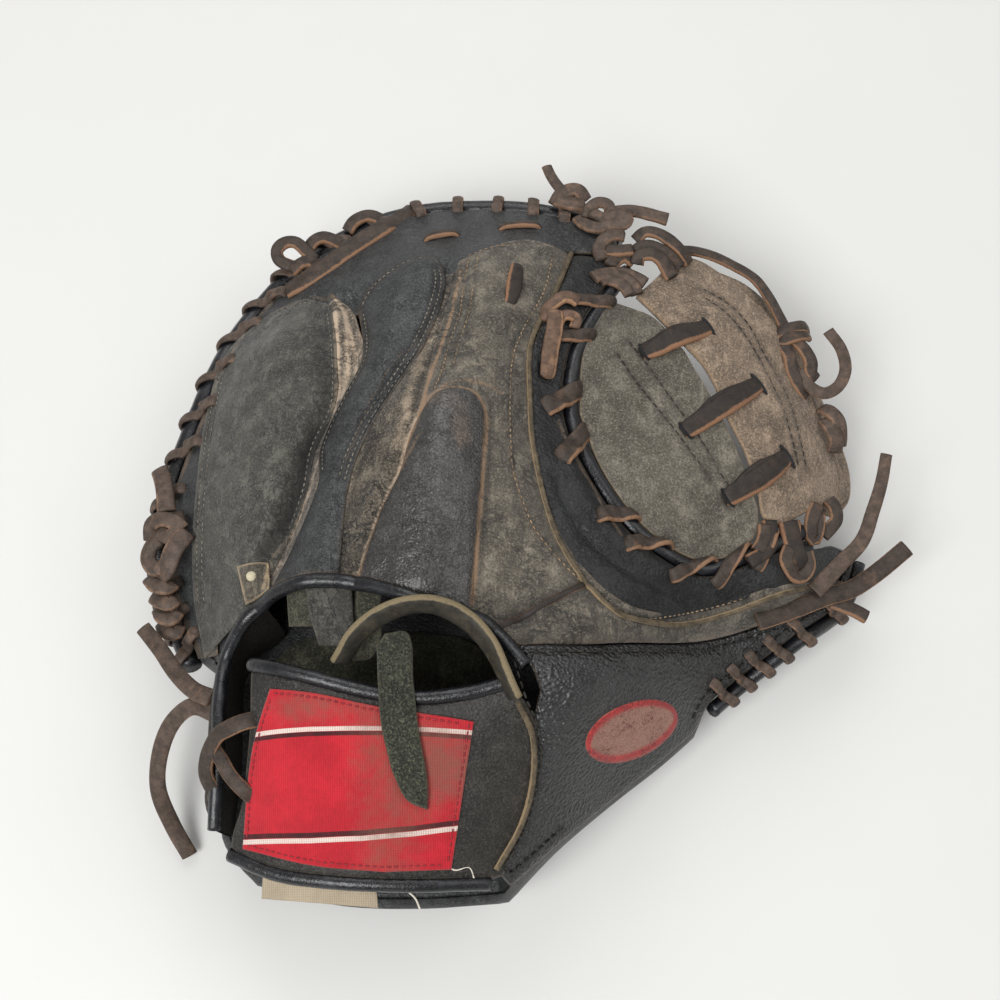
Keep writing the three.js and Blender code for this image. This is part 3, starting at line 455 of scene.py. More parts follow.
def stitches(shape, path, ups, length=2.7, gap=1.1, radius=0.42, seed=0, sides=5):
    """A row of short threads along a line in space."""
    path = np.array(path, float)
    lengths = np.append(0, np.cumsum(np.linalg.norm(np.diff(path, axis=0), axis=1)))
    ups = np.array(ups, float)
    place = gap
    index = 0
    turns = np.arange(sides) * 2 * math.pi / sides
    while place + length < lengths[-1]:
        ends = read_at((place, place + length), lengths, path)
        up = read_at(place + length / 2, lengths, ups)
        middle = (ends[0] + ends[1]) / 2
        along = ends[1] - ends[0]
        half = np.linalg.norm(along) / 2
        along = along / max(2 * half, 1e-6)
        side = np.cross(along, up)
        side /= max(np.linalg.norm(side), 1e-6)
        turn = 0.14 * noise.noise(Vector((index * 0.77, seed * 3.1, 0)))
        along = along + turn * side
        top = np.cross(side, along)
        points, faces = [], []
        for ring, (s, r) in enumerate(STITCH_RINGS):
            sink = -0.55 * radius * abs(s) ** 3
            centre = middle + along * half * s + top * sink
            for angle in turns:
                points.append(centre + radius * r * (math.cos(angle) * side + 0.8 * math.sin(angle) * top))
            if ring:
                for k in range(sides):
                    a, b = (ring - 1) * sides, ring * sides
                    faces.append((a + k, a + (k + 1) % sides, b + (k + 1) % sides, b + k))
        faces.append(tuple(range(sides - 1, -1, -1)))
        faces.append(tuple((len(STITCH_RINGS) - 1) * sides + k for k in range(sides)))
        shape.add(points, faces, tone=0.5 + 0.5 * noise.noise(Vector((index * 1.7, seed, 2.0))))
        place += length + gap
        index += 1


# Leather sheets
def ring_direction(outline):
    """The direction into a closed outline at each of its points."""
    forward = np.roll(outline, -1, axis=0) - np.roll(outline, 1, axis=0)
    forward /= np.maximum(np.linalg.norm(forward, axis=1), 1e-9)[:, None]
    after = np.roll(outline, -1, axis=0)
    area = 0.5 * np.sum(outline[:, 0] * after[:, 1] - outline[:, 1] * after[:, 0])
    return np.stack([-forward[:, 1], forward[:, 0]], -1) * (1 if area > 0 else -1)


def thinned(points, least):
    """Drops each point that is nearer than least to an earlier one."""
    cells, kept = {}, []
    for point in points:
        key = (int(point[0] // least), int(point[1] // least))
        near = [cells.get((key[0] + i, key[1] + j)) for i in (-1, 0, 1) for j in (-1, 0, 1)]
        if not any(n is not None and math.dist(n, point) < least for n in near):
            cells[key] = tuple(point)
            kept.append(point)
    return np.array(kept).reshape(-1, 2)


def sheet_mesh(outline, spacing, rows=(), cuts=(), inset=(0.5, 1.3)):
    """Triangles in plan that fill an outline less its cuts, finer along its edges and stitch rows."""
    outline = np.array(outline, float)
    cuts = [np.array(cut, float) for cut in cuts]

    def kept(points, clear):
        x, y = points.T
        keep = inside(x, y, outline) & (line_distance(x, y, outline, True) > clear)
        for cut in cuts:
            keep &= ~inside(x, y, cut) & (line_distance(x, y, cut, True) > clear)
        return points[keep]

    low, high = outline.min(0), outline.max(0)
    xs, ys = np.meshgrid(np.arange(low[0], high[0], spacing), np.arange(low[1], high[1], spacing * 0.866))
    xs = xs + (np.arange(len(xs)) % 2)[:, None] * spacing / 2
    filling = kept(np.stack([xs.ravel(), ys.ravel()], -1), inset[-1] + 0.45 * spacing)
    lines = [outline + ring_direction(outline) * d for d in inset]
    lines += [cut - ring_direction(cut) * d for cut in cuts for d in inset]
    for row in rows:
        filling = filling[line_distance(filling[:, 0], filling[:, 1], row) > 1.2]
        lines += [beside(resampled(row, 1.3), shift) for shift in (0.0, -0.75, 0.75)]
    loose = thinned(kept(np.vstack(lines), 0.8 * inset[0]), 0.4)
    loops, points = [], []
    for loop in [outline] + cuts:
        start = sum(len(p) for p in points)
        loops += [(start + k, start + (k + 1) % len(loop)) for k in range(len(loop))]
        points.append(loop)
    points = np.vstack(points + [loose, filling])
    verts, _, faces, _, _, _ = geometry.delaunay_2d_cdt([Vector(p) for p in points], loops, [], 0, 1e-4)
    verts = np.array([tuple(v) for v in verts])
    faces = np.array([tuple(f) for f in faces])
    middle = verts[faces].mean(1)
    chosen = inside(middle[:, 0], middle[:, 1], outline)
    for cut in cuts:
        chosen &= ~inside(middle[:, 0], middle[:, 1], cut)
    faces = faces[chosen]
    used, numbers = np.unique(faces, return_inverse=True)
    faces = [tuple(int(k) for k in f) for f in numbers.reshape(-1, 3)]
    boundary = {}
    for face in faces:
        for a, b in zip(face, face[1:] + face[:1]):
            if (b, a) in boundary:
                del boundary[(b, a)]
            else:
                boundary[(a, b)] = True
    return verts[used], faces, list(boundary)


def edge_distance(points, boundary):
    """How far each point in plan is from the boundary edges of its own mesh."""
    x, y = points.T
    nearest = np.full(len(x), 1e9)
    for a, b in boundary:
        nearest = np.minimum(nearest, line_distance(x, y, points[[a, b]]))
    return nearest


# How far from an edge or a seam the leather's shapes and marks reach, in millimetres
PUFF_REACH, CALM_REACH, WEAR_REACH, EDGE_MARK_REACH = 4.5, 3, 4.0, 1.6
GROOVE_REACH, SEAM_MARK_REACH = 0.9, 1.4


def leather(name, nodes, outline, material, slot, lift=0.0, thick=2.0, turn=1.1, puff=0.0, rows=(), cuts=(),
            groove=0.45, wrinkle=0.25, wrinkle_scale=9.0, spacing=1.25, seed=1, extra=None, surface=None,
            marks=None):
    """A leather piece over the back, with turned edges, sewn rows that pull in and a closed underside."""
    surface = surface or skin
    verts, faces, boundary = sheet_mesh(outline, spacing, rows, cuts)
    x, y = verts.T
    edge = edge_distance(verts, boundary)
    base = surface(x, y)
    near = np.clip(edge / turn, 0, 1)
    z = base + lift - turn * (1 - np.sqrt(1 - (1 - near) ** 2))
    if puff:
        z = z + puff * (1 - np.exp(-edge / PUFF_REACH))
    sewn = np.full(len(x), 99.0)
    for row in rows:
        sewn = np.minimum(sewn, line_distance(x, y, row))
    if rows:
        z = z - groove * np.exp(-((sewn / GROOVE_REACH) ** 2))
    places = np.stack([x, y, np.zeros_like(x)], -1)
    calm = np.clip(edge / CALM_REACH, 0, 1)
    folds = wobble(places, wrinkle_scale, seed) + 0.5 * wobble(places, wrinkle_scale * 0.45, seed + 3)
    z = z + wrinkle * calm * folds
    if extra is not None:
        z = z + extra(x, y) * calm
    under = base + lift - thick
    under = np.minimum(under, z - 0.3)
    count = len(verts)
    points = np.vstack([np.stack([x, y, z], -1), np.stack([x, y, under], -1)])
    sides = [(a, b, b + count, a + count)[::-1] for a, b in boundary]
    lower = [tuple(k + count for k in face[::-1]) for face in faces]
    edge_mark = np.concatenate([np.clip(1 - edge / EDGE_MARK_REACH, 0, 1), np.ones(count)])
    wear = np.concatenate([np.exp(-edge / WEAR_REACH), np.zeros(count)])
    seam = np.concatenate([np.exp(-((sewn / SEAM_MARK_REACH) ** 2)), np.zeros(count)])
    rubbed = np.concatenate([rubbed_at(x, y), np.zeros(count)])
    # Darkened lines: painted shade, and the dark heel seam
    darkened_lines = np.concatenate([darkened_at(x, y), np.zeros(count)])
    tags = {"edge": edge_mark, "wear": wear, "seam": seam, "rub": rubbed, "dirt": darkened_lines}
    if marks:
        for key, function in marks.items():
            tags[key] = np.concatenate([function(x, y), np.zeros(count)])
    shape = Shape()
    shape.add(points, list(faces) + lower + sides, **tags)
    thing = shape.object(name, material, nodes, slot)

    def top(px, py):
        """The height of this piece's face, well inside its edges."""
        return surface(px, py) + lift + puff

    return thing, top


def row_path(line, height, sink=0.15, step=1.0):
    """A stitch row in plan as points in space on a surface, with the surface's directions."""
    line = resampled(line, step)
    x, y = line.T
    return np.stack([x, y, height(x, y) - sink], -1), skin_normal(x, y)


def inner_row(outline, start, end, inset, step=1.5):
    """Part of a closed outline, from the point nearest start on to the one nearest end, moved inward."""
    outline = resampled(np.vstack([outline, outline[:1]]), step)[:-1]
    area = 0.5 * np.sum(outline[:, 0] * np.roll(outline[:, 1], -1)
                        - outline[:, 1] * np.roll(outline[:, 0], -1))
    a, b = (int(np.argmin(np.hypot(*(outline - p).T))) for p in (start, end))
    span = (b - a) % len(outline)
    part = outline[[(a + k) % len(outline) for k in range(span + 1)]]
    moved = beside(part, -inset if area > 0 else inset)
    smooth = moved.copy()
    for _ in range(3):
        smooth[1:-1] = (smooth[:-2] + 2 * smooth[1:-1] + smooth[2:]) / 4
    return smooth


# Materials
class Field:
    """A number that varies over a material. Arithmetic on it adds Math nodes."""

    def __init__(self, paint, socket):
        self.paint, self.socket = paint, socket

    def math(self, operation, *others, clamp=False):
        node = self.paint.tree.nodes.new("ShaderNodeMath")
        node.operation, node.use_clamp = operation, clamp
        for place, value in zip(node.inputs, (self,) + others):
            self.paint.put(place, value)
        return Field(self.paint, node.outputs[0])

    def __add__(self, other):
        return self.math("ADD", other)

    def __mul__(self, other):
        return self.math("MULTIPLY", other)

    def __sub__(self, other):
        return self.math("SUBTRACT", other)

    def __rsub__(self, other):
        return (self * -1.0) + other

    __radd__, __rmul__ = __add__, __mul__

    def clamped(self):
        return self.math("ADD", 0.0, clamp=True)

    def between(self, low, high):
        """0 below low, 1 above high and smooth between them."""
        node = self.paint.node("ShaderNodeMapRange", {"interpolation_type": "SMOOTHSTEP", "clamp": True},
                               {"Value": self, "From Min": low, "From Max": high})
        return Field(self.paint, node.outputs["Result"])


class Paint:
    """Builds one material out of nodes. Sizes are in millimetres."""

    def __init__(self, name):
        self.material = bpy.data.materials.new(name)
        self.material.use_nodes = True
        self.tree = self.material.node_tree
        self.shader = self.tree.nodes["Principled BSDF"]
        self.place = self.node("ShaderNodeTexCoord").outputs["Object"]

    def put(self, socket, value):
        if isinstance(value, Field):
            self.tree.links.new(value.socket, socket)
        elif isinstance(value, bpy.types.NodeSocket):
            self.tree.links.new(value, socket)
        else:
            socket.default_value = value

    def node(self, kind, settings=None, inputs=None):
        node = self.tree.nodes.new(kind)
        for name, value in (settings or {}).items():
            setattr(node, name, value)
        for name, value in (inputs or {}).items():
            self.put(node.inputs[name], value)
        return node

    def at(self, size, stretch=(1, 1, 1), turn=0.0, shift=(0, 0, 0)):
        """The place on the piece, measured in lumps of a size."""
        scale = [1000 / (size * s) for s in stretch]
        node = self.node("ShaderNodeMapping", {"vector_type": "POINT"},
                         {"Vector": self.place, "Scale": scale, "Rotation": (0, 0, turn), "Location": shift})
        return node.outputs[0]

    def noise(self, size, detail=3.0, rough=0.55, bend=0.0, **where):
        node = self.node("ShaderNodeTexNoise", {"noise_dimensions": "3D"},
                         {"Vector": self.at(size, **where), "Scale": 1.0, "Detail": detail,
                          "Roughness": rough, "Distortion": bend})
        return Field(self, node.outputs[0])

    def cells(self, size, feature="F1", bend=0.0, **where):
        """Distances in a pattern of cells, with their walls bent by a distance in cells."""
        place = self.at(size, **where)
        if bend:
            lumps = self.node("ShaderNodeTexNoise", {"noise_dimensions": "3D"},
                              {"Vector": place, "Scale": 0.7, "Detail": 2.0}).outputs["Color"]
            moved = self.node("ShaderNodeVectorMath", {"operation": "MULTIPLY_ADD"})
            self.put(moved.inputs[0], lumps)
            moved.inputs[1].default_value = (bend, bend, bend)
            self.put(moved.inputs[2], place)
            place = moved.outputs[0]
        node = self.node("ShaderNodeTexVoronoi", {"feature": feature, "voronoi_dimensions": "3D"},
                         {"Vector": place, "Scale": 1.0})
        return Field(self, node.outputs["Distance"])

    def mark(self, name):
        return Field(self, self.node("ShaderNodeAttribute", {"attribute_name": name}).outputs["Fac"])

    def mix(self, share, first, second):
        """The first colour, with a share of the second one over it."""
        node = self.node("ShaderNodeMix", {"data_type": "RGBA", "clamp_factor": True})
        self.put(node.inputs[0], share)
        for socket, value in ((node.inputs[6], first), (node.inputs[7], second)):
            self.put(socket, value)
        return node.outputs[2]

    def done(self, colour, roughness, height=None, **constants):
        """Joins colour, roughness and height in millimetres to the shader. constants are its fixed values."""
        self.put(self.shader.inputs["Base Color"], colour)
        self.put(self.shader.inputs["Roughness"], roughness)
        if height is not None:
            bump = self.node("ShaderNodeBump", None, {"Strength": 1.0, "Distance": 0.001, "Height": height})
            self.tree.links.new(bump.outputs[0], self.shader.inputs["Normal"])
        for name, value in constants.items():
            self.shader.inputs[name.replace("_", " ")].default_value = value
        return self.material


def rgb(red, green, blue):
    """A colour seen as 0 to 255 on a screen, as light."""
    return tuple(((c / 255 + 0.055) / 1.055) ** 2.4 if c > 10 else c / 255 / 12.92
                 for c in (red, green, blue)) + (1,)


def shaded(colour, share):
    """A colour made darker or paler in light."""
    return tuple(min(1.0, c * share) for c in colour[:3]) + (1,)


def bare_share(edges, rub, wear, middle, fine, speck):
    """Where the dye is gone: along the edges and along the rubbed lines, both broken up by noise."""
    rubbed = edges + middle * 0.42 + fine * 0.22
    rubbed = rubbed.between(0.86 - 0.3 * wear, 1.2 - 0.22 * wear) * wear
    lines = (rub + middle * 0.55 + speck * 0.3 - 0.42).between(0.28, 0.85)
    return (rubbed + lines * rub.between(0.02, 0.25)).clamped()


def hide_paint(name, base, worn, dark=0.36, light=2.6, gloss=0.45, grain=0.9, grain_depth=0.10, wear=0.5,
               creases=0.10, scuffs=0.35, mottle=0.6, specks=0.5, specular=0.4, coat=0.0):
    """Leather: blotches, pebbled grain, fine creases, scuffs, specks and edges rubbed to the raw hide, with
    painted shade in creases, grain and seams and painted glints in the pale specks.
    """
    p = Paint(name)
    dark, light = shaded(base, dark), shaded(base, light)
    broad = p.noise(34, 4.0, 0.6)
    middle = p.noise(7.5, 5.0, 0.65, shift=(3, 1, 7))
    fine = p.noise(1.5, 3.0, 0.6, shift=(5, 2, 1))
    speck = p.noise(0.7, 3.0, 0.8, shift=(7, 7, 2))
    pebbles = p.cells(grain, "SMOOTH_F1", bend=0.25)
    fold = p.noise(3.2, 4.0, 0.6, bend=0.6, turn=0.5, shift=(9, 4, 2)) - 0.5
    crease = 1.0 - (fold * fold).between(0.0, 0.0011)
    crease = crease * p.noise(14, 3.0, shift=(4, 9, 6)).between(0.42, 0.58)
    walls = p.cells(grain * 1.2, "DISTANCE_TO_EDGE", bend=0.5).between(0.16, 0.0)
    scratch = p.noise(5.0, 5.0, 0.65, stretch=(0.55, 3.4, 1.0), turn=0.6, shift=(1, 8, 3)).between(0.56, 0.72)
    scratch = scratch * p.noise(24, 3.0, shift=(2, 6, 4)).between(0.42, 0.64)
    edge, worn_edge, seam, rub, dirt = (p.mark(mark) for mark in ("edge", "wear", "seam", "rub", "dirt"))
    blotches = broad.between(0.34, 0.66) * mottle + middle.between(0.3, 0.7) * (1 - mottle)
    colour = p.mix(blotches.clamped(), dark, base)
    colour = p.mix(middle.between(0.5, 0.74) * 0.4, colour, light)
    # Pale specks: painted glints on the grain
    colour = p.mix(speck.between(0.5, 0.68) * specks, colour, light)
    colour = p.mix(speck.between(0.5, 0.36) * specks * 0.8, colour, shaded(dark, 0.5))
    colour = p.mix(scratch * scuffs, colour, light)
    bare = bare_share(edge * 0.6 + worn_edge * 0.26, rub, wear, middle, fine, speck)
    colour = p.mix(bare, colour, worn)
    # Painted shade in the creases, between the grain's pebbles and along the sewn rows, plus the darkened
    # lines' painted shade and dark heel seam
    colour = p.mix((crease * 0.5 + walls * 0.45 + seam * 0.4 + dirt * 0.85).clamped(), colour,
                   shaded(dark, 0.32))
    rough = gloss + middle * 0.26 + bare * 0.16 - scratch * 0.05 - 0.09
    height = pebbles * grain_depth + fine * 0.22 + speck * 0.08
    height = height - crease * creases + middle * 0.45 - scratch * 0.03
    return p.done(colour, rough.clamped(), height, Coat_Weight=coat, Coat_Roughness=0.3,
                  Specular_IOR_Level=specular)


def suede_paint(name, base, worn, dark=0.36, light=2.5, wear=0.5, nap=0.10, specks=0.6, streaks=0.4,
                creases=0.3, specular=0.25):
    """Brushed leather: a short nap with specks, rubbed patches and soft blotches, with little gloss."""
    p = Paint(name)
    dark, light = shaded(base, dark), shaded(base, light)
    broad = p.noise(30, 4.0, 0.62)
    middle = p.noise(8, 5.0, 0.65, shift=(3, 1, 7))
    fine = p.noise(1.1, 3.0, 0.7, shift=(5, 2, 1))
    speck = p.noise(0.8, 2.0, 0.75, shift=(7, 7, 2))
    fibres = p.noise(1.5, 4.0, 0.7, stretch=(0.45, 2.0, 1.0), turn=0.9, shift=(1, 3, 3))
    scratch = p.noise(6.0, 5.0, 0.68, stretch=(0.5, 3.0, 1.0), turn=-0.5, shift=(4, 8, 3)).between(0.55, 0.72)
    fold = p.noise(6.5, 4.0, 0.6, bend=0.6, turn=0.4, shift=(9, 4, 2)) - 0.5
    crease = 1.0 - (fold * fold).between(0.0, 0.0016)
    crease = crease * p.noise(18, 2.0, shift=(4, 9, 6)).between(0.4, 0.58)
    edge, worn_edge, seam, rub, dirt = (p.mark(mark) for mark in ("edge", "wear", "seam", "rub", "dirt"))
    colour = p.mix(broad.between(0.36, 0.64) * 0.5 + middle.between(0.36, 0.64) * 0.5, dark, base)
    colour = p.mix(middle.between(0.5, 0.72) * 0.45, colour, light)
    colour = p.mix(speck.between(0.5, 0.68) * specks, colour, light)
    colour = p.mix(speck.between(0.5, 0.36) * specks * 0.85, colour, shaded(dark, 0.5))
    colour = p.mix(scratch * streaks, colour, light)
    colour = p.mix(fibres.between(0.4, 0.7) * 0.3, colour, dark)
    bare = bare_share(edge * 0.6 + worn_edge * 0.3, rub, wear, middle, fine, speck)
    colour = p.mix(bare, colour, worn)
    # Painted shade in the creases and along the sewn rows, plus the darkened lines' painted shade and dark
    # heel seam
    colour = p.mix((crease * creases + seam * 0.4 + dirt * 0.85).clamped(), colour, shaded(dark, 0.35))
    height = fine * nap + fibres * 0.14 + speck * 0.08 + middle * 0.5 - crease * creases
    return p.done(colour, (0.7 + middle * 0.2).clamped(), height, Sheen_Weight=0.12, Sheen_Roughness=0.5,
                  Specular_IOR_Level=specular)


def lace_paint(name, top, side, dark=0.36, gloss=0.5, rub=0.4, edges=0.9):
    """A rawhide lace: a dyed face, rubbed along its length, with bare edges where the dye is gone."""
    p = Paint(name)
    dark = shaded(top, dark)
    middle = p.noise(4, 4.0, 0.6)
    fine = p.noise(0.8, 4.0, 0.7, shift=(1, 4, 2))
    streak = p.noise(1.3, 3.0, 0.6, stretch=(1.0, 0.5, 1.0), shift=(2, 5, 8))
    edge = p.mark("edge")
    colour = p.mix(middle.between(0.32, 0.68) * 0.7 + streak.between(0.35, 0.65) * 0.3, dark, top)
    # Pale edges: bare hide, and on laces with the lit section also a painted lit side
    bare = (edge * edges + middle * 0.55 + fine * 0.3 - 0.16).between(0.78, 1.12)
    colour = p.mix(bare, colour, side)
    colour = p.mix(p.noise(7, 4.0, 0.6, shift=(8, 1, 2)).between(0.55, 0.74) * rub, colour, side)
    colour = p.mix(fine.between(0.5, 0.25) * 0.6, colour, shaded(dark, 0.5))
    height = fine * 0.12 + middle * 0.25 + streak * 0.08
    return p.done(colour, (gloss + fine * 0.2 + bare * 0.2).clamped(), height, Specular_IOR_Level=0.35)


def cloth_paint(name, base, worn, dark=0.65, thread=0.8, stripes=(), fade=0.5):
    """Woven cloth: two thread directions, browner and worn places, and bare stripes where marks say so."""
    p = Paint(name)
    dark = shaded(base, dark)
    weaves = []
    for axis in ("X", "Y"):
        wave = p.node("ShaderNodeTexWave", {"wave_type": "BANDS", "bands_direction": axis},
                      {"Vector": p.at(thread * 3.2), "Scale": 1.0, "Distortion": 1.2, "Detail": 2.0})
        weaves.append(Field(p, wave.outputs["Fac"]))
    weave = weaves[0] * 0.65 + weaves[1] * 0.35
    broad = p.noise(17, 4.0, 0.62)
    middle = p.noise(4.2, 5.0, 0.66, shift=(2, 6, 1))
    threads = p.noise(1.0, 3.0, 0.7, stretch=(0.5, 3.0, 1.0), shift=(6, 1, 4))
    edge = p.mark("edge")
    colour = p.mix(broad.between(0.36, 0.66) * 0.6 + threads.between(0.3, 0.7) * 0.4, dark, base)
    for mark, low, high, tone in stripes:
        place = p.mark(mark)
        band = place.between(low - 0.12, low + 0.12) * (1.0 - place.between(high - 0.12, high + 0.12))
        colour = p.mix(band * (0.72 + middle * 0.45), colour, tone)
    soil = (p.mark("soil") + middle * 0.5 + broad * 0.25 + threads * 0.25 - 0.12).between(0.6, 1.15)
    colour = p.mix(soil * fade, colour, worn)
    colour = p.mix(weave.between(0.25, 0.8) * 0.3, colour, shaded(dark, 0.45))
    colour = p.mix((edge * 0.55 + middle * 0.3).between(0.55, 0.8) * 0.4, colour, worn)
    return p.done(colour, 0.85, weave * 0.1 + middle * 0.3, Sheen_Weight=0.15, Specular_IOR_Level=0.25)


def thread_paint(name, pale, dark):
    """Sewing thread, soiled here and there."""
    p = Paint(name)
    twist = p.node("ShaderNodeTexWave", {"wave_type": "BANDS", "bands_direction": "DIAGONAL"},
                   {"Vector": p.at(12), "Scale": 1.0})
    middle = p.noise(6, 3.0)
    colour = p.mix((middle.between(0.35, 0.7) * 0.6 + p.mark("tone") * 0.4).clamped(), dark, pale)
    return p.done(colour, 0.75, Field(p, twist.outputs["Fac"]) * 0.05, Specular_IOR_Level=0.3)


def make_paints(look):
    """All materials. look holds the colours that a user may change."""
    black, olive, index, inner, outer, piping, lace, red = (
        tuple(colour) + (1,) for colour in (look.black, look.olive, look.index, look.inner_web,
                                            look.outer_web, look.piping, look.lace, look.red))
    tan, stripe_pale, stripe_dark = rgb(134, 108, 84), rgb(206, 194, 184), rgb(24, 19, 22)
    return {
        "black": hide_paint("black_leather", black, rgb(104, 88, 72), gloss=0.44, wear=0.45, grain_depth=0.2,
                            specks=0.8, scuffs=0.5),
        "thumb": hide_paint("pebbled_leather", shaded(black, 0.31), rgb(112, 98, 84), light=4.8, gloss=0.36,
                            grain=1.3, grain_depth=1.3, wear=0.3, scuffs=0.4, specks=0.8, specular=0.6),
        "gusset": hide_paint("folded_leather", shaded(black, 0.22), rgb(104, 88, 72), light=3.4, gloss=0.42,
                             grain=1.1, grain_depth=0.3, creases=0.15, wear=0.4, specks=0.7, specular=0.38),
        "strap": hide_paint("strap_leather", rgb(46, 43, 39), rgb(104, 92, 76), gloss=0.55, grain=1.0,
                            wear=0.4, grain_depth=0.2, specks=0.8),
        "hump": hide_paint("creased_leather", rgb(50, 47, 45), tan, dark=0.25, light=3.4, gloss=0.36,
                           grain=0.9, grain_depth=0.35, creases=0.25, wear=0.4, coat=0.2, specks=0.9,
                           scuffs=0.7, specular=0.65),
        "olive": suede_paint("olive_leather", olive, rgb(108, 98, 84), wear=0.25, nap=0.12, specks=0.5,
                             creases=0.5, specular=0.4),
        "index": suede_paint("index_leather", index, tan, wear=0.3, specks=0.45, creases=0.5, specular=0.35),
        "gap": suede_paint("gap_leather", rgb(112, 102, 90), rgb(168, 150, 130), dark=0.25, specks=0.6,
                           creases=0.5),
        "brown": suede_paint("brown_leather", rgb(88, 81, 71), rgb(160, 142, 122), dark=0.2, specks=0.6,
                             creases=0.6),
        "web_a": suede_paint("web_suede", inner, rgb(146, 126, 100), dark=0.46, light=2.1, wear=0.35, nap=0.2,
                             specks=0.55, creases=0.15),
        "web_b": suede_paint("web_brown_suede", outer, rgb(156, 130, 102), dark=0.46, light=2.1, wear=0.45,
                             nap=0.2, specks=0.55, creases=0.2),
        "piping": hide_paint("piping_leather", piping, rgb(104, 92, 82), dark=0.45, light=4.0, gloss=0.25,
                             grain=0.7, grain_depth=0.05, wear=0.2, creases=0.05, coat=0.15, specks=0.25),
        "lace": lace_paint("lace_leather", lace, rgb(128, 100, 80), rub=0.45, edges=0.7),
        "lace_tan": lace_paint("worn_lace_leather", shaded(lace, 0.6), rgb(126, 95, 72), dark=0.3, rub=0.25),
        "lace_bare": lace_paint("bare_lace_leather", rgb(108, 84, 68), rgb(150, 116, 88), rub=0.5),
        "lace_dark": lace_paint("dark_lace_leather", shaded(lace, 0.3), rgb(126, 92, 68), rub=0.1, edges=1.0),
        "raw": lace_paint("raw_edge", rgb(98, 86, 68), rgb(132, 114, 88), gloss=0.75, rub=0.5),
        "band": lace_paint("band_leather", rgb(56, 52, 44), rgb(114, 102, 78), rub=0.2, edges=1.15),
        "tab": suede_paint("green_suede", rgb(50, 52, 41), rgb(90, 86, 66), dark=0.2, wear=0.25, nap=0.3,
                           specks=0.9),
        "small_tab": suede_paint("small_tab_leather", rgb(88, 82, 72), rgb(150, 132, 106), light=1.8,
                                 wear=0.7),
        "dot": lace_paint("raised_dot", rgb(206, 196, 168), rgb(206, 196, 168), dark=0.6, gloss=0.7),
        "red_cloth": cloth_paint(
            "red_cloth", red, rgb(112, 76, 64), fade=0.85,
            stripes=[("upper", -0.75, 0.75, stripe_pale), ("upper", -2.3, -0.85, stripe_dark),
                     ("lower", -0.75, 0.9, stripe_dark), ("lower", -2.5, -0.9, stripe_pale)]),
        "red_leather": hide_paint("red_leather", rgb(172, 46, 46), rgb(146, 110, 96), dark=0.6, light=1.7,
                                  gloss=0.45, wear=0.5, mottle=0.4, scuffs=0.5),
        "lining": suede_paint("lining", rgb(66, 66, 54), rgb(96, 86, 68), wear=0.3),
        # Near black: painted shade of the slits where laces go through
        "dark": suede_paint("painted_slot_shade", rgb(16, 16, 17), rgb(40, 36, 32), wear=0.1),
        "label": cloth_paint("white_cloth", rgb(172, 158, 136), rgb(134, 112, 88), dark=0.75, fade=0.5),
        "thread_dark": thread_paint("dark_thread", rgb(60, 56, 50), rgb(22, 21, 21)),
        "thread_pale": thread_paint("pale_thread", rgb(158, 134, 106), rgb(84, 72, 58)),
        "thread_grey": thread_paint("grey_thread", rgb(132, 126, 114), rgb(66, 63, 58)),
        "thread_red": thread_paint("red_thread", rgb(150, 50, 56), rgb(110, 34, 40)),
        "thread_raw": thread_paint("loose_thread", rgb(226, 222, 210), rgb(190, 184, 170)),
    }


# Outlines in plan
RIM_CORE, CROTCH_CORE, THUMB_CORE = 4.2, 3.0, 3.0
RIM_DROP = -4.0
RIM_INSET, EDGE_INSET, THUMB_INSET, PIPING_INSET = 7.6, 7.2, 6.3, 3.9
HEEL_FLOOR = 30
POCKET = {"x": 45, "y": 22, "half_x": 104, "half_y": 84, "depth": 46}
ROLL = {"width": 26, "share": 0.5, "least": 6, "most": 24}
POCKET_PADDING = 12

THUMB_EDGE = [(76, -86), (63, -97), (43, -112), (20, -131)]
PALM_OUTLINE = joined_edges(
    beside(RIM_LINE, RIM_INSET), beside(CROTCH_LINE, EDGE_INSET), [(140, -11)],
    beside(THUMB_LINE, THUMB_INSET), THUMB_EDGE, [(2, -149), (-30, -151), (-60, -150)],
    [(-92, -143), (-105, -128), (-107, -84)], [(-106, -67)], step=3.0)
HAND_OUTLINE = joined_edges(
    [(-112, -156)], [(-112, -70)],
    [(-97, -52), (-107, -20), (-110, 12), (-102, 44), (-78, 66), (-40, 82), (-8, 84), (6, 66), (5, 30)],
    [(8, 0)], [(18, -24), (36, -46), (62, -55), (74, -64), (66, -76), (40, -90), (16, -102)], [(5, -116)],
    [(3, -156)], step=3.0)
OUTER_LINE = np.vstack([
    beside(RIM_LINE, RIM_INSET), [(82, 108), (118, 75), (136, 30)], beside(THUMB_LINE, THUMB_INSET),
    [(63, -98), (43, -113), (20, -132), (2, -150), (-60, -151), (-92, -144), (-105, -128), (-107, -84),
     (-106, -67)]])
OPENING_OUTLINE = joined_edges(beside(OPENING_LINE, -PIPING_INSET + 2.2), [(14, -84)], [(-4, -156)],
                               [(-112, -156)])

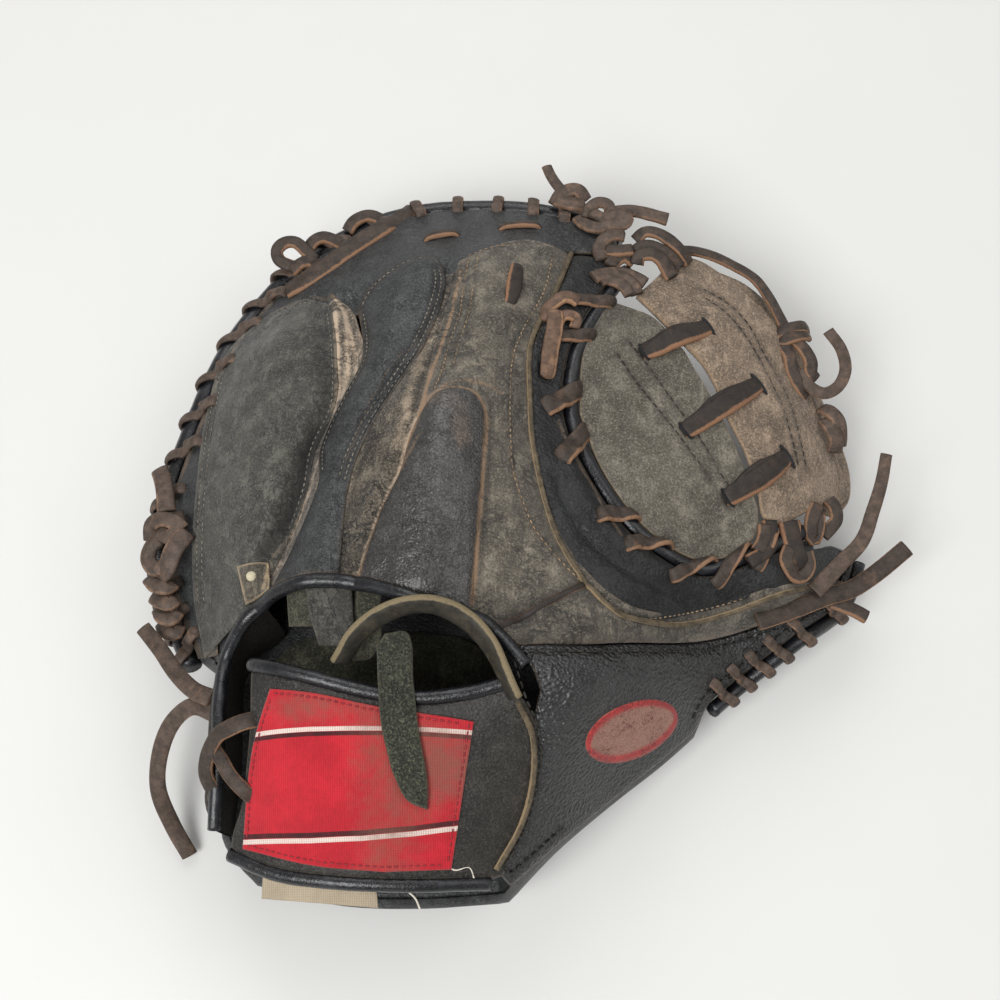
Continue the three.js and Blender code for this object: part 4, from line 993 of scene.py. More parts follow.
PINKY = joined_edges(
    [(-118, -60), (-124, -36), (-124, 5), (-124, 40), (-118, 74)],
    [(-104, 86), (-92, 90), (-79, 89), (-71, 83)],
    [(-68, 72), (-66, 60), (-65, 34), (-72, 14), (-74, -2), (-80, -20)], [(-93, -50)])
RING_LINE = [(-86, -43), (-76, -20), (-69, -4), (-70, 14), (-61, 38), (-55, 52), (-59, 80)]
STRIP_LINE = [(-24, 99), (-22, 89), (-26, 66), (-34, 45), (-50, 14), (-56, -6), (-58, -50)]
STRIP = joined_edges(RING_LINE, [(-59, 80), (-53, 90), (-44, 99), (-31, 104)], STRIP_LINE,
                     [(-58, -60), (-90, -60)])
CENTRE = joined_edges(
    [(-52, -66)], [(-52, -45), (-47, -28), (-42, -15), (-37, -5), (-33, 11), (-28, 22), (-23, 27), (-16, 29),
                   (-10, 28), (-6, 23), (-5, 16), (-6, 0), (-7, -17), (-8, -30), (-9, -43)], [(-10, -66)])
INDEX = joined_edges(
    [(-12, -70)], [(-12, 18)], [(-31, 16), (-26, 52)], [(-17, 99), (-2, 108), (12, 114)],
    [(30, 108), (22, 83), (12, 58), (11, 34), (14, 6), (25, -28), (44, -48), (62, -50), (92, -40)],
    [(132, -27)], CREASE_LINE[:0:-1])
GAP_PIECE = joined_edges(
    [(-95, -60)], [(-76, 14), (-70, 34), (-74, 80)], [(-69, 87), (-62, 82), (-57, 68), (-52, 50)],
    [(-66, 14), (-80, -60)])
MIDDLE = joined_edges(
    [(-62, -66), (-60, 0), (-40, 40), (-28, 92)], [(-16, 92)],
    [(-20, 54), (-23, 17), (-36, -14), (-43, -34), (-44, -54)], [(-40, -66)])
RIM_BAND = joined_edges(
    beside(RIM_LINE, RIM_INSET - 3.4), [(40, 110), (17, 108), (-7, 99), (-20, 92), (-44, 90), (-58, 78)],
    [(-96, 82), (-106, 70), (-114, 40), (-116, 5), (-113, -36)], [(-110, -61)])
GUSSET = joined_edges(beside(WELT_LINE, -0.5), beside(CROTCH_LINE, EDGE_INSET - 4.0)[::-1])
THUMB_PIECE = joined_edges(
    [(x, y - 0.5) for x, y in CREASE_LINE], beside(THUMB_LINE, THUMB_INSET - 3.6),
    [(78, -87), (65, -98), (45, -113.5), (21, -133)], [(4, -148)], STRAP_RIGHT_LINE[::-1])
STRAP = joined_edges(
    beside(STRAP_TOP_LINE, 1.5), [(9, -88), (14, -98), (14, -112), (10, -127), (1, -144)],
    beside(STRAP_BOTTOM_LINE, -1.5)[::-1], [(-92, -119), (-89, -94)])
INNER_WEB = joined_edges(
    [(31.5, 30), (33, 56), (37.5, 73)], [(44, 85), (55, 82), (64, 78)],
    [(76, 62), (80, 53), (85, 43), (91, 29), (98, 11)], [(103, -3), (102, -14)],
    [(90, -24.5), (76, -27), (57, -18.5), (40, 4)])
OUTER_WEB = joined_edges(
    [(60, 92), (82, 114), (100, 103), (116, 86)], [(125, 74), (131, 59), (135, 45), (140, 30), (143, 18)],
    [(141, 9), (122, -3), (111, -10), (105, -7)],
    [(103, 4), (98, 19), (92, 32), (88, 45), (83, 56), (76, 65), (64, 80)],
    [(57, 88)])
WEB_MIDDLE = joined_edges(
    [(112, 94), (124, 80)], [(133, 62), (139, 42), (144, 28), (149, 14)], [(139, 4)], [(112, 0)], [(108, 40)])
WEB_BACK = joined_edges(
    [(88, 112), (108, 105), (123, 90), (132, 74), (140, 56), (147, 38), (151, 24), (150, 13), (145, 6)],
    [(140, 2)], [(114, 0), (110, 10), (102, 34), (88, 58)])
PATCH = joined_edges(
    [(-81, -83), (-64, -85.5), (-45, -89.5)], [(-9, -95)], [(-17, -143)], [(-40, -144), (-65, -141.8)],
    [(-92, -135.5), (-88, -104)])
PATCH_UPPER = [(-95, -98), (-87, -98), (-66, -97.5), (-41, -97.5), (-24, -98), (-5, -99)]
PATCH_LOWER = [(-95, -131.5), (-66, -132), (-48, -131.5), (-30, -130), (-12, -127.5)]
TAB = joined_edges([(-43, -70)], [(-40, -66), (-32, -66)], [(-30, -82), (-28, -98), (-25, -115)],
                   [(-25, -124), (-32, -121)], [(-37, -112), (-41, -96)], step=1.2)
SMALL_TAB = joined_edges([(-101, -31)], [(-88, -31)], [(-86, -43)], [(-96, -47)], step=1.2)
LINING = joined_edges([(-95, -130)], [(-98, -67), (-82, -51), (-50, -47), (-14, -50)], [(-1, -60)],
                      [(-1, -142)], [(-60, -140)])
STALL = joined_edges([(-71, -38)], [(-54, -38)], [(-53, -58), (-57, -65)], [(-66, -65), (-70, -52)])
STALL_BACK = joined_edges([(-60, -40)], [(-43, -40)], [(-43, -62), (-47, -69)], [(-56, -70)])
STALL_SIDE = joined_edges([(-80, -36)], [(-68, -38)], [(-67, -58)], [(-78, -57)])
LABEL = joined_edges([(-85, -139)], [(-44, -145)], [(-43, -155.5)], [(-86, -152)], step=1.2)
OVAL = {"x": 50, "y": -92, "long": 21, "short": 8.6, "angle": 0.42}


def oval_line(grow=0.0, count=90):
    """The outline of the oval patch, grown by some millimetres."""
    turns = np.arange(count) * 2 * math.pi / count
    a, b = (OVAL["long"] + grow) * np.cos(turns), (OVAL["short"] + grow) * np.sin(turns)
    c, s = math.cos(OVAL["angle"]), math.sin(OVAL["angle"])
    return np.stack([OVAL["x"] + a * c - b * s, OVAL["y"] + a * s + b * c], -1)


def pocket_rise(x, y):
    """How high the ball pocket reaches into the palm from below."""
    reach = np.hypot((x - POCKET["x"]) / POCKET["half_x"], (y - POCKET["y"]) / POCKET["half_y"])
    share = np.clip(1 - reach * reach, 0, 1)
    return POCKET["depth"] * share * (2 - share)


def palm_under(x, y):
    """The underside of the palm: a rolled edge round the pocket."""
    inward = np.clip(line_distance(x, y, OUTER_LINE, True) / ROLL["width"], 0, 1)
    edge = np.clip(ROLL["share"] * skin(x, y), ROLL["least"], ROLL["most"])
    return np.maximum(edge * (1 - np.sqrt(1 - (1 - inward) ** 2)), pocket_rise(x, y))


def hand_floor(x, y):
    """The floor of the hand hollow."""
    return np.maximum(HEEL_FLOOR, pocket_rise(x, y) + POCKET_PADDING)


# Pieces
PALM_SPACING, PALM_INSET = 3.0, (1.2, 3.0)
COVER_THICKNESS, LEAST_PADDING = 2.6, 2.5
WALL_LEVELS, WALL_BULGE, NOTCH_BULGE = 7, 3.4, 1.2


def make_palm(paints):
    """The padded body: a sheet above, a sheet below and a bulging wall between their rims."""
    verts, faces, boundary = sheet_mesh(PALM_OUTLINE, PALM_SPACING, inset=PALM_INSET)
    x, y = verts.T
    hand = np.where(inside(x, y, HAND_OUTLINE), 1, -1) * line_distance(x, y, HAND_OUTLINE, True)
    hollow = np.clip(hand / 5 + 0.3, 0, 1) ** 0.7
    cover = skin(x, y) - COVER_THICKNESS
    top = cover + (hand_floor(x, y) - cover) * hollow
    top = np.maximum(top, palm_under(x, y) + LEAST_PADDING)
    under = palm_under(x, y)
    places = np.stack([x, y, 0 * x], -1)
    under = np.maximum(under + 0.5 * wobble(places, 14, 4) * (under > 1), 0)
    count = len(verts)
    points = [np.stack([x, y, top], -1), np.stack([x, y, under], -1)]
    faces = list(faces) + [tuple(k + count for k in f[::-1]) for f in faces]
    outward = -ring_direction(PALM_OUTLINE)
    rim = sorted({k for pair in boundary for k in pair})
    order = {k: i for i, k in enumerate(rim)}
    nearest = [int(np.argmin(np.hypot(*(PALM_OUTLINE - verts[k]).T))) for k in rim]
    push = outward[nearest]
    notch = line_distance(x[rim], y[rim], smooth_line(CROTCH_LINE)) < EDGE_INSET + 3
    bulge = np.where(notch, NOTCH_BULGE, WALL_BULGE)
    for level in range(1, WALL_LEVELS):
        s = level / WALL_LEVELS
        row = np.stack([x[rim], y[rim], under[rim] + (top[rim] - under[rim]) * s], -1)
        row[:, :2] += push * (bulge * math.sin(math.pi * s) ** 0.6)[:, None]
        points.append(row)

    def number(k, level):
        """The number of a rim vertex at a level of the wall, from the sheet below to the one above."""
        if level == 0:
            return k + count
        if level == WALL_LEVELS:
            return k
        return 2 * count + (level - 1) * len(rim) + order[k]

    for a, b in boundary:
        for level in range(WALL_LEVELS):
            lower, upper = (number(b, level), number(a, level)), (number(b, level + 1), number(a, level + 1))
            faces.append((lower[1], upper[1], upper[0], lower[0]))
    shape = Shape()
    points = np.vstack(points)
    shape.add(points, faces, edge=0.0, wear=0.35 + 0.3 * wobble(points, 20, 9))
    return shape.object("palm_padding", paints["black"], ["palm"], "black_leather")


def make_back(paints):
    """The leather pieces of the back with their stitch rows."""
    grey, pale = Shape(), Shape()
    cut = [OPENING_OUTLINE]

    def piece(name, nodes, outline, paint, slot, **look):
        nodes = [nodes] if isinstance(nodes, str) else nodes
        _, top = leather(name, nodes, outline, paints[paint], slot, **look)
        threads = pale if name == "index_leather" else grey
        for row in look.get("rows", ()):
            path, ups = row_path(row, top, 0.25)
            stitches(threads, path, ups, length=1.5, gap=1.0, radius=0.32, seed=len(name))

    pinky_rows = [
        inner_row(PINKY, (-124, -40), (-118, 74), 2.6), inner_row(PINKY, (-124, -40), (-118, 74), 5.2),
        inner_row(PINKY, (-100, 89), (-74, 88), 2.6), inner_row(PINKY, (-68, 80), (-80, -20), 2.2),
    ]
    piece("rim_band_leather", "rim_band", RIM_BAND, "black", "black_leather", lift=0.0, cuts=cut, seed=2)
    piece("gap_leather", "gap_panel", GAP_PIECE, "gap", "brown_leather", lift=0.4, cuts=cut, seed=3,
          wrinkle=0.4)
    piece("middle_leather", "middle_panel", MIDDLE, "brown", "brown_leather", lift=0.4, cuts=cut, seed=4,
          wrinkle=0.4)
    piece("pinky_leather", "pinky_panel", PINKY, "olive", "olive_leather", lift=1.5, cuts=cut,
          rows=pinky_rows, seed=6, wrinkle=0.45, wrinkle_scale=13)
    strip_rows = [inner_row(STRIP, (-70, 0), (-57, 76), 2.0), inner_row(STRIP, (-59, 78), (-31, 103), 2.0),
                  inner_row(STRIP, (-24, 96), (-56, -6), 2.0), inner_row(STRIP, (-24, 96), (-56, -6), 4.2)]
    piece("finger_strip_leather", "finger_strip", STRIP, "black", "black_leather", lift=1.5, cuts=cut,
          rows=strip_rows, seed=7, wrinkle=0.35)
    index_rows = [smooth_line(line, 2) for line in (
        [(-13, 99), (-15, 81), (-16, 70), (-20, 53), (-22, 40), (-25, 28)],
        [(-9, 101), (-11, 81), (-12, 70), (-16, 53), (-18, 40)],
        [(-14, 101), (-8, 104), (-1, 107), (5, 108), (12, 111)],
        [(22, 103), (18, 84), (9, 62), (5, 48), (4, 33), (4, 13), (5, -2), (9, -15), (13, -24), (20, -33),
         (28, -41), (38, -50), (52, -54), (64, -51), (78, -46), (96, -40)])]
    piece("index_leather", ("index_panel", "crotch_panel"), INDEX, "index", "brown_leather", lift=1.2,
          cuts=cut, rows=index_rows, seed=9, wrinkle=0.55, wrinkle_scale=11)
    piece("centre_leather", "centre_panel", CENTRE, "hump", "black_leather", lift=2.0, cuts=cut, puff=1.3,
          seed=8, wrinkle=1.0, wrinkle_scale=9, turn=1.6)
    piece("gusset_leather", "crotch_gusset", GUSSET, "gusset", "black_leather", lift=0.9, seed=10,
          wrinkle=0.6, wrinkle_scale=10)
    grey.object("back_stitches", paints["thread_grey"], slot="raw_edge")
    pale.object("index_stitches", paints["thread_pale"], slot="raw_edge")


def make_thumb(paints):
    """The thumb leather with the domed oval on it."""
    threads = Shape()
    rows = [inner_row(THUMB_PIECE, (26, -128), (76, -88), 3.0)]
    _, top = leather("thumb_leather", ["thumb_shell"], THUMB_PIECE, paints["thumb"], "black_leather",
                     lift=0.9, rows=rows, puff=1.2, wrinkle=0.4, wrinkle_scale=16, seed=11, turn=1.6,
                     cuts=[OPENING_OUTLINE])
    for row in rows:
        path, ups = row_path(row, top, 0.3)
        stitches(threads, path, ups, seed=3)

    def dome(x, y):
        c, s = math.cos(OVAL["angle"]), math.sin(OVAL["angle"])
        u = ((x - OVAL["x"]) * c + (y - OVAL["y"]) * s) / OVAL["long"]
        v = (-(x - OVAL["x"]) * s + (y - OVAL["y"]) * c) / OVAL["short"]
        reach = np.clip(u * u + v * v, 0, 1)
        return 1.1 * np.exp(-(((np.sqrt(reach) - 0.88) / 0.08) ** 2)) + 0.9 * (1 - reach)

    def worn(x, y):
        return 0.85 * np.clip((line_distance(x, y, oval_line(), True) - 1.2) / 2.0, 0, 1)

    leather("oval_leather", ["oval_patch"], oval_line(), paints["red_leather"], "red_leather", lift=2.3,
            thick=2.2, puff=0.3, wrinkle=0.15, spacing=1.0, seed=12, extra=dome, turn=1.0,
            marks={"rub": worn})
    threads.object("thumb_stitches", paints["thread_dark"], slot="raw_edge")


WEB_ROWS = {
    "inner": ([(52, 66), (59, 56), (69, 39), (80, 22), (88, 8), (96, -3)],
              [(47, 60), (56, 45), (67, 29), (76, 16), (85, 3), (91, -6)]),
    "outer": ([(85, 96), (94, 91), (104, 81), (110, 69), (116, 58), (121, 47), (124, 29), (126, 16)],
              [(86, 91), (95, 84), (102, 75), (108, 65), (113, 54), (117, 43), (120, 28), (122, 17)]),
}
WEB_LACES = (("web_lace_1", (59, 60), (86, 74)), ("web_lace_2", (74, 25), (106, 50)),
             ("web_lace_3", (90, -1), (116, 19)))


def make_web(paints):
    """The web's suede layers, its stitches and its three laces in their slots."""
    threads = Shape()

    def overlap(x, y):
        """The outer suede rises where its upper left part lies on the inner one."""
        away = line_distance(x, y, [(60, 84), (84, 54), (96, 24)])
        return 2.3 * np.clip((y - 30) / 30, 0, 1) * np.exp(-away / 9)

    leather("outer_web_back_layer", ["web_back_layer"], WEB_BACK, paints["web_b"], "web_suede", lift=-2.8,
            thick=1.8, wrinkle=0.5, seed=21, turn=0.5)
    leather("outer_web_middle_layer", [], WEB_MIDDLE, paints["web_b"], "web_suede", lift=-1.3, thick=1.2,
            wrinkle=0.3, seed=22, turn=0.5)
    for name, node, key, outline, paint, lift, extra in (
            ("inner_web_suede", "web_inner_panel", "inner", INNER_WEB, "web_a", 0.0, None),
            ("outer_web_suede", "web_outer_panel", "outer", OUTER_WEB, "web_b", 0.5, overlap)):
        rows = [smooth_line(row, 2) for row in WEB_ROWS[key]]
        _, top = leather(name, [node], outline, paints[paint], "web_suede", lift=lift, thick=2.3, rows=rows,
                         wrinkle=0.6, wrinkle_scale=15, seed=len(name), turn=0.7, groove=0.4, extra=extra)
        for row in rows:
            path, ups = row_path(row, top, 0.2)
            stitches(threads, path, ups, length=2.6, radius=0.3, seed=7)
    threads.object("web_stitches", paints["thread_dark"], slot="raw_edge")
    slots, second = Shape(), Shape()
    for index, (name, start, end) in enumerate(WEB_LACES):
        start, end = np.array(start, float), np.array(end, float)
        along = (end - start) / np.linalg.norm(end - start)
        across = np.array([-along[1], along[0]])
        for shape, side, width, rise in ((Shape(), -0.6, 9.2, 3.4), (second, 3.0, 4.6, 2.4)):
            stations = np.array((-0.04, 0.0, 0.15, 0.35, 0.5, 0.65, 0.85, 1.0, 1.04))
            line = [start + (end - start) * s + across * side * math.sin(math.pi * min(max(s, 0), 1))
                    for s in stations]
            above = [-1.5, 0.6, 1.5, rise, rise + 0.5, rise, 1.5, 0.6, -1.5]
            path, ups = over_skin(line, above, 1.0)
            place = np.linspace(0, 1, len(path))
            scale = 0.45 + 0.55 * np.sin(np.pi * place) ** 0.35 + 0.05 * wobble(path, 5, index + side)
            swept(shape, path, ups, lit_section(width, 2.6), scale=scale)
            if shape is not second:
                shape.object(name + "_leather", paints["lace_dark"], [name])
        # Near-black strips across each lace's ends: painted shade of the slits it goes through
        for place, half in ((start - 0.4 * along, 4.4), (end + 0.6 * along, 5.4)):
            line = [place - across * half, place, place + across * half]
            path, ups = over_skin(line, [1.0, 1.1, 1.0], 0.8)
            scale = 0.25 + 0.75 * np.sin(np.pi * np.linspace(0, 1, len(path))) ** 0.6
            swept(slots, path, ups, flat_section(3.0, 0.8, 0), scale=scale)
    slots.object("web_lace_slots", paints["dark"], slot="lining")
    second.object("web_lace_second_strands", paints["lace_dark"])


def make_opening(paints):
    """The heel wall, lining, finger stall, label and loose threads."""
    wall = Shape()
    line = smooth_line(OPENING_LINE[:5], 3.0)
    low, high = HEEL_FLOOR + 0.5, skin(line[:, 0], line[:, 1]) - 3.4
    section_rows = 9
    for side, tone in ((1.1, 0.3), (-1.1, 0.0)):
        shifted = beside(line, side)
        points = []
        for k in range(section_rows):
            s = k / (section_rows - 1)
            z = low + (high - low) * s
            fold = 0.8 * wobble(np.stack([line[:, 0], line[:, 1], z], -1), 12, 5)
            points.append(np.stack([shifted[:, 0] + fold, shifted[:, 1], z], -1))
        points = np.vstack(points)
        count = len(line)
        faces = [(k * count + i, k * count + i + 1, (k + 1) * count + i + 1, (k + 1) * count + i)
                 for k in range(section_rows - 1) for i in range(count - 1)]
        if side > 0:
            faces = [f[::-1] for f in faces]
        wall.add(points, faces, wear=tone)
    side = smooth_line([(-107, -62), (-107.5, -76), (-107.5, -89), (-107, -109), (-107.5, -118),
                        (-104, -125)], 2.0)
    points = np.column_stack([side, skin(side[:, 0], side[:, 1]) - 1.6])
    swept(wall, points, (-1.0, 0.0, 0.25), flat_section(7.0, 2.2), wear=0.5)
    wall.object("heel_wall_leather", paints["strap"], ["heel_wall"], "black_leather")
    leather("hand_lining_leather", ["hand_lining"], LINING, paints["lining"], "lining", lift=2.3, thick=1.6,
            surface=hand_floor, wrinkle=1.2, wrinkle_scale=16, spacing=2.6, seed=31)

    def stall_surface(x, y):
        return skin(x, y) - 2.6 - 0.45 * np.maximum(0, -44 - y)

    leather("finger_stall_leather", ["finger_stall"], STALL, paints["olive"], "lining", thick=1.8,
            surface=stall_surface, wrinkle=1.0, wrinkle_scale=9, seed=32, turn=1.0)
    for name, outline, drop in (("finger_stall_back", STALL_BACK, 3.4),
                                ("finger_stall_side", STALL_SIDE, 2.6)):
        leather(name, [], outline, paints["lining"], "lining", lift=-drop, thick=1.4, surface=stall_surface,
                wrinkle=1.0, wrinkle_scale=8, seed=len(name))
    label, _ = leather("cloth_label_sheet", ["cloth_label"], LABEL, paints["label"], "white_cloth", lift=-4.4,
                       thick=0.7, turn=0.3, wrinkle=0.5, spacing=1.2, seed=33)
    loose = Shape()
    for points in ([(-46, -148), (-40, -150), (-35, -149), (-30, -152), (-28, -156)],
                   [(-62, -146), (-58, -149), (-52, -148)],
                   [(-20, -140), (-16, -143), (-11, -142), (-9, -146)]):
        x, y = np.array(points, float).T
        path = smooth_line(np.column_stack([x, y, skin(x, y) + 0.8]), 0.8)
        swept(loose, path, (0.0, 0.0, 1.0), round_section(0.35, 6))
    loose.object("loose_threads", paints["thread_raw"], slot="white_cloth")


DOT_PLACE, DOT_SIDES = (-94.0, -36.5), 14
DOT_RINGS = ((2.0, 2.6), (1.9, 3.7), (1.1, 4.1))


def make_dot(paints):
    """The raised dot on the small tab, out of rings of a radius at a height above the leather."""
    x, y = DOT_PLACE
    n, last = DOT_SIDES, len(DOT_RINGS) - 1
    turns = np.arange(n) * 2 * math.pi / n
    rings = [np.stack([x + r * np.cos(turns), y + r * np.sin(turns), np.full(n, skin(x, y) + h)], -1)
             for r, h in DOT_RINGS]
    faces = [(k * n + i, k * n + (i + 1) % n, (k + 1) * n + (i + 1) % n, (k + 1) * n + i)
             for k in range(last) for i in range(n)]
    dot = Shape()
    dot.add(np.vstack(rings), faces + [tuple(range(last * n, last * n + n)), tuple(range(n - 1, -1, -1))])
    dot.object("small_tab_dot", paints["dot"], slot="white_cloth")


def make_strap(paints):
    """The wrist strap with its cloth, tabs, narrow strap and side lace."""
    threads = Shape()
    leather(
        "strap_leather", ["wrist_strap"], STRAP, paints["strap"], "black_leather", lift=1.2, thick=3.0,
        turn=1.3, wrinkle=0.4, wrinkle_scale=14, seed=41)

    def from_line(line, x, y):
        """How far above a line that runs across the patch a point is, in millimetres."""
        line = np.array(line, float)
        return np.clip(y - np.interp(x, line[:, 0], line[:, 1]), -9, 9)

    # Browner in the middle, on the right half along its middle band and near the upper left corner
    def soil(x, y):
        middle = 0.5 * np.exp(-(((x + 40) / 17) ** 2))
        right = 0.6 * np.clip((x + 40) / 20, 0, 1) * np.exp(-(((y + 110) / 17) ** 2))
        corner = 0.55 * np.exp(-(((x + 70) / 16) ** 2) - ((y + 90) / 8) ** 2)
        return middle + right + corner

    rows = [inner_row(PATCH, (-82, -84), (-12, -95), 1.5), inner_row(PATCH, (-9, -96), (-17, -141), 1.5),
            inner_row(PATCH, (-19, -143), (-90, -135), 1.5), inner_row(PATCH, (-91, -133), (-83, -86), 1.5)]
    cloth, cloth_top = leather(
        "strap_patch_cloth", ["strap_patch"], PATCH, paints["red_cloth"], "red_cloth", lift=2.4, thick=1.1,
        turn=0.5, rows=rows, wrinkle=0.35, wrinkle_scale=8, spacing=1.0, seed=42,
        marks={"soil": soil, "upper": lambda x, y: from_line(PATCH_UPPER, x, y),
               "lower": lambda x, y: from_line(PATCH_LOWER, x, y)})
    for row in rows:
        path, ups = row_path(row, cloth_top, 0.1)
        stitches(threads, path, ups, length=1.7, gap=0.8, radius=0.3, seed=11)
    leather(
        "pull_tab_suede", ["pull_tab"], TAB, paints["tab"], "green_suede", lift=4.9, thick=2.0, turn=0.6,
        wrinkle=0.5, wrinkle_scale=10, spacing=1.2, seed=43)
    leather("pinky_tab_leather", ["pinky_tab"], SMALL_TAB, paints["small_tab"], "green_suede", lift=3.1,
            thick=1.2, turn=0.5, seed=44)
    make_dot(paints)
    threads.object("strap_stitches", paints["thread_red"], slot="raw_edge")
    adjust = Shape()
    line = [(-57, -73), (-50, -65), (-40, -59), (-25, -56), (-12, -61), (-3, -71), (5, -86)]
    path, ups = over_skin(line, [-6, 1.0, 3.6, 4.2, 4.2, 4.2, 4.0], 1.2)
    along = np.gradient(path, axis=0)
    aside = np.cross(along, ups)
    aside /= np.linalg.norm(aside, axis=1)[:, None]
    swept(adjust, path, aside + 0.45 * ups, flat_section(9.0, 3.0), scale=1 + 0.04 * wobble(path, 8, 3))
    adjust.object("adjust_strap_leather", paints["band"], ["adjust_strap"], "black_leather")
    side = Shape()
    ribbon(side, [(-106, -96, 66), (-104, -100, 76), (-100, -105, 78), (-96, -111, 78.5), (-91, -116, 79),
                  (-87, -119, 75)],
           5.2, 2.0, up=(-0.3, 0, 0.95), wave=0.05)
    ribbon(side, [(-85, -92, 85), (-90, -93.5, 88), (-95, -95, 86), (-101, -97.5, 81.5), (-105, -103, 76),
                  (-106.5, -109, 71), (-105, -114, 66)], 6.0, 2.2, up=(-0.3, 0, 0.95), wave=0.05, seed=2)
    side.object("strap_side_lace", paints["lace_tan"], ["strap_lace"])


def make_edges(paints):
    """The rolls, pipings and raw welts."""
    for name, node, line, above, radius, paint, wave in (
            ("rim_roll", "rim_binding", RIM_LINE, RIM_DROP, RIM_CORE, "piping", 0.04),
            ("crotch_roll", "crotch_binding", CROTCH_LINE, -2, CROTCH_CORE, "piping", 0.04),
            ("thumb_roll", "thumb_binding", THUMB_LINE, -1, THUMB_CORE, "piping", 0.04),
            ("opening_piping", "opening_binding", OPENING_LINE, 0.3, 2.7, "piping", 0.05),
            ("strap_piping_top", "strap_binding_top", STRAP_TOP_LINE, 0.4, 2.7, "piping", 0.05),
            ("strap_piping_bottom", "strap_binding_bottom", STRAP_BOTTOM_LINE, 0.0, 2.7, "piping", 0.05)):
        shape = Shape()
        path = smooth_line(line, 1.5)
        x, y = path.T
        points = np.stack([x, y, skin(x, y) + above], -1)
        swept(shape, points, (0.0, 0.0, 1.0), round_section(radius, 14),
              scale=1 + wave * wobble(points, 6, len(name)), wear=0.3)
        shape.object(name, paints[paint], [node], "piping")
    for name, node, line in (("crotch_welt_edge", "crotch_welt", WELT_LINE), ("strap_welt_edge", "strap_welt",
                                                                              STRAP_RIGHT_LINE)):
        shape = Shape()
        path, ups = over_skin(line, [1.2] * len(line), 0.8)
        swept(shape, path, ups, flat_section(1.9, 2.0, 0.2),
              scale=1 + 0.1 * wobble(path, 5, 2) + 0.16 * wobble(path, 1.8, 4))
        shape.object(name, paints["raw"], [node], "raw_edge")
    shape = Shape()
    path, ups = over_skin(SEAM_LINE, [1.3] * len(SEAM_LINE), 1.2)
    swept(shape, path, ups, flat_section(2.6, 0.9, 0.2), scale=1 + 0.12 * wobble(path, 4, 6))
    shape.object("heel_seam_strip", paints["lace_dark"], [], "lace")


HOLE_DEPTH = 2.0
WRAP_ANGLES = (75, 100, 130, 160, 190, 220, 250)


def wrap_path(line, core_radius, above, place, lean, reach, thick):
    """One lace turn over a rolled edge, from a hole inside it over the roll to its underside."""
    path = smooth_line(line, 1.0)
    lengths = np.append(0, np.cumsum(np.linalg.norm(np.diff(path, axis=0), axis=1)))

    def at(s):
        return read_at(np.clip(s, 0, lengths[-1]), lengths, path[:, :2])

    middle = at(place)
    along = at(place + 2) - at(place - 2)
    along /= np.linalg.norm(along)
    inward = np.array([along[1], -along[0]])
    centre_z = skin(*middle) + above
    ring = core_radius + thick / 2 + 0.25
    points, ups = [], []
    for s, height in ((reach, -HOLE_DEPTH), (reach - 0.8, 1.0 + thick / 2), (reach * 0.62, 1.3 + thick / 2)):
        where = middle + inward * s + along * lean * s / reach
        normal = skin_normal(*where)
        points.append(np.append(where, skin(*where)) + normal * height)
        ups.append(normal)
    for angle in WRAP_ANGLES:
        a = math.radians(angle)
        out = math.cos(a)
        past = out if angle <= 180 else -1 - 0.5 * (angle - 180) / 70
        where = middle + along * lean * past * ring / reach
        offset = inward * out * ring
        points.append(np.array([where[0] + offset[0], where[1] + offset[1], centre_z + math.sin(a) * ring]))
        ups.append(np.array([inward[0] * out, inward[1] * out, math.sin(a)]))
    return points, ups


def wraps(shape, line, core_radius, above, turns, thick=1.7, seed=0):
    """A lace turn for each entry: place along the line, reach inward, width and lean, in millimetres."""
    for index, (place, reach, width, lean) in enumerate(turns):
        points, ups = wrap_path(line, core_radius, above, place, lean, reach, thick)
        path = smooth_line(points, 1.1)
        walked, source = np.linspace(0, 1, len(path)), np.linspace(0, 1, len(ups))
        turned_ups = read_at(walked, source, ups)
        swept(shape, path, turned_ups, lit_section(width, thick),
              scale=1 + 0.03 * wobble(path, 6, index + seed))


RIM_TURNS = (
    (6, 9, 5.2, 3), (18, 9, 5.2, 3), (31, 9, 5.2, 3), (44, 9, 5.2, 3), (57, 10, 5.4, 3), (71, 10, 5.2, 4),
    (93, 10.5, 5.2, 5), (110, 11, 5.2, 6), (129, 11, 5.2, 7), (150, 11, 5.4, 8), (170, 11, 5.4, 8),
    (189, 10, 5.4, 8), (211, 9, 5.2, 7), (233, 8, 5.2, 5), (254, 6, 4.8, 1), (272, 5.5, 4.8, 0),
    (290, 5.5, 4.8, 0), (306, 6, 5.2, 1), (320, 7, 5.2, 2), (335, 7, 5.2, 3))
CROTCH_TURNS = (
    (24, 10.5, 5.4, 7), (44, 10.5, 5.4, 7), (72, 10.5, 8.0, 8), (92, 10.5, 8.0, 8), (127, 10, 6.4, -5),
    (142, 9, 6.0, -8), (160, 7, 5.6, -10), (176, 6, 5.4, -11), (192, 6, 5.4, -9), (206, 6, 5.4, -6))
THUMB_TURNS = tuple((place, 9.0, 4.2, 4.0) for place in (12, 27, 47, 59, 68, 77, 87))


def make_wraps(paints):
    """The laces wound round the rolls."""
    for name, node, line, radius, above, turns, paint in (
            ("rim_wraps", "rim_lace", RIM_LINE, RIM_CORE, RIM_DROP, RIM_TURNS, "lace"),
            ("crotch_wraps", "crotch_lace", CROTCH_LINE, CROTCH_CORE, -2, CROTCH_TURNS, "lace_tan"),
            ("thumb_wraps", "thumb_lace", THUMB_LINE, THUMB_CORE, -1, THUMB_TURNS, "lace")):
        shape = Shape()
        wraps(shape, line, radius, above, turns, seed=len(name))
        shape.object(name, paints[paint], [node])


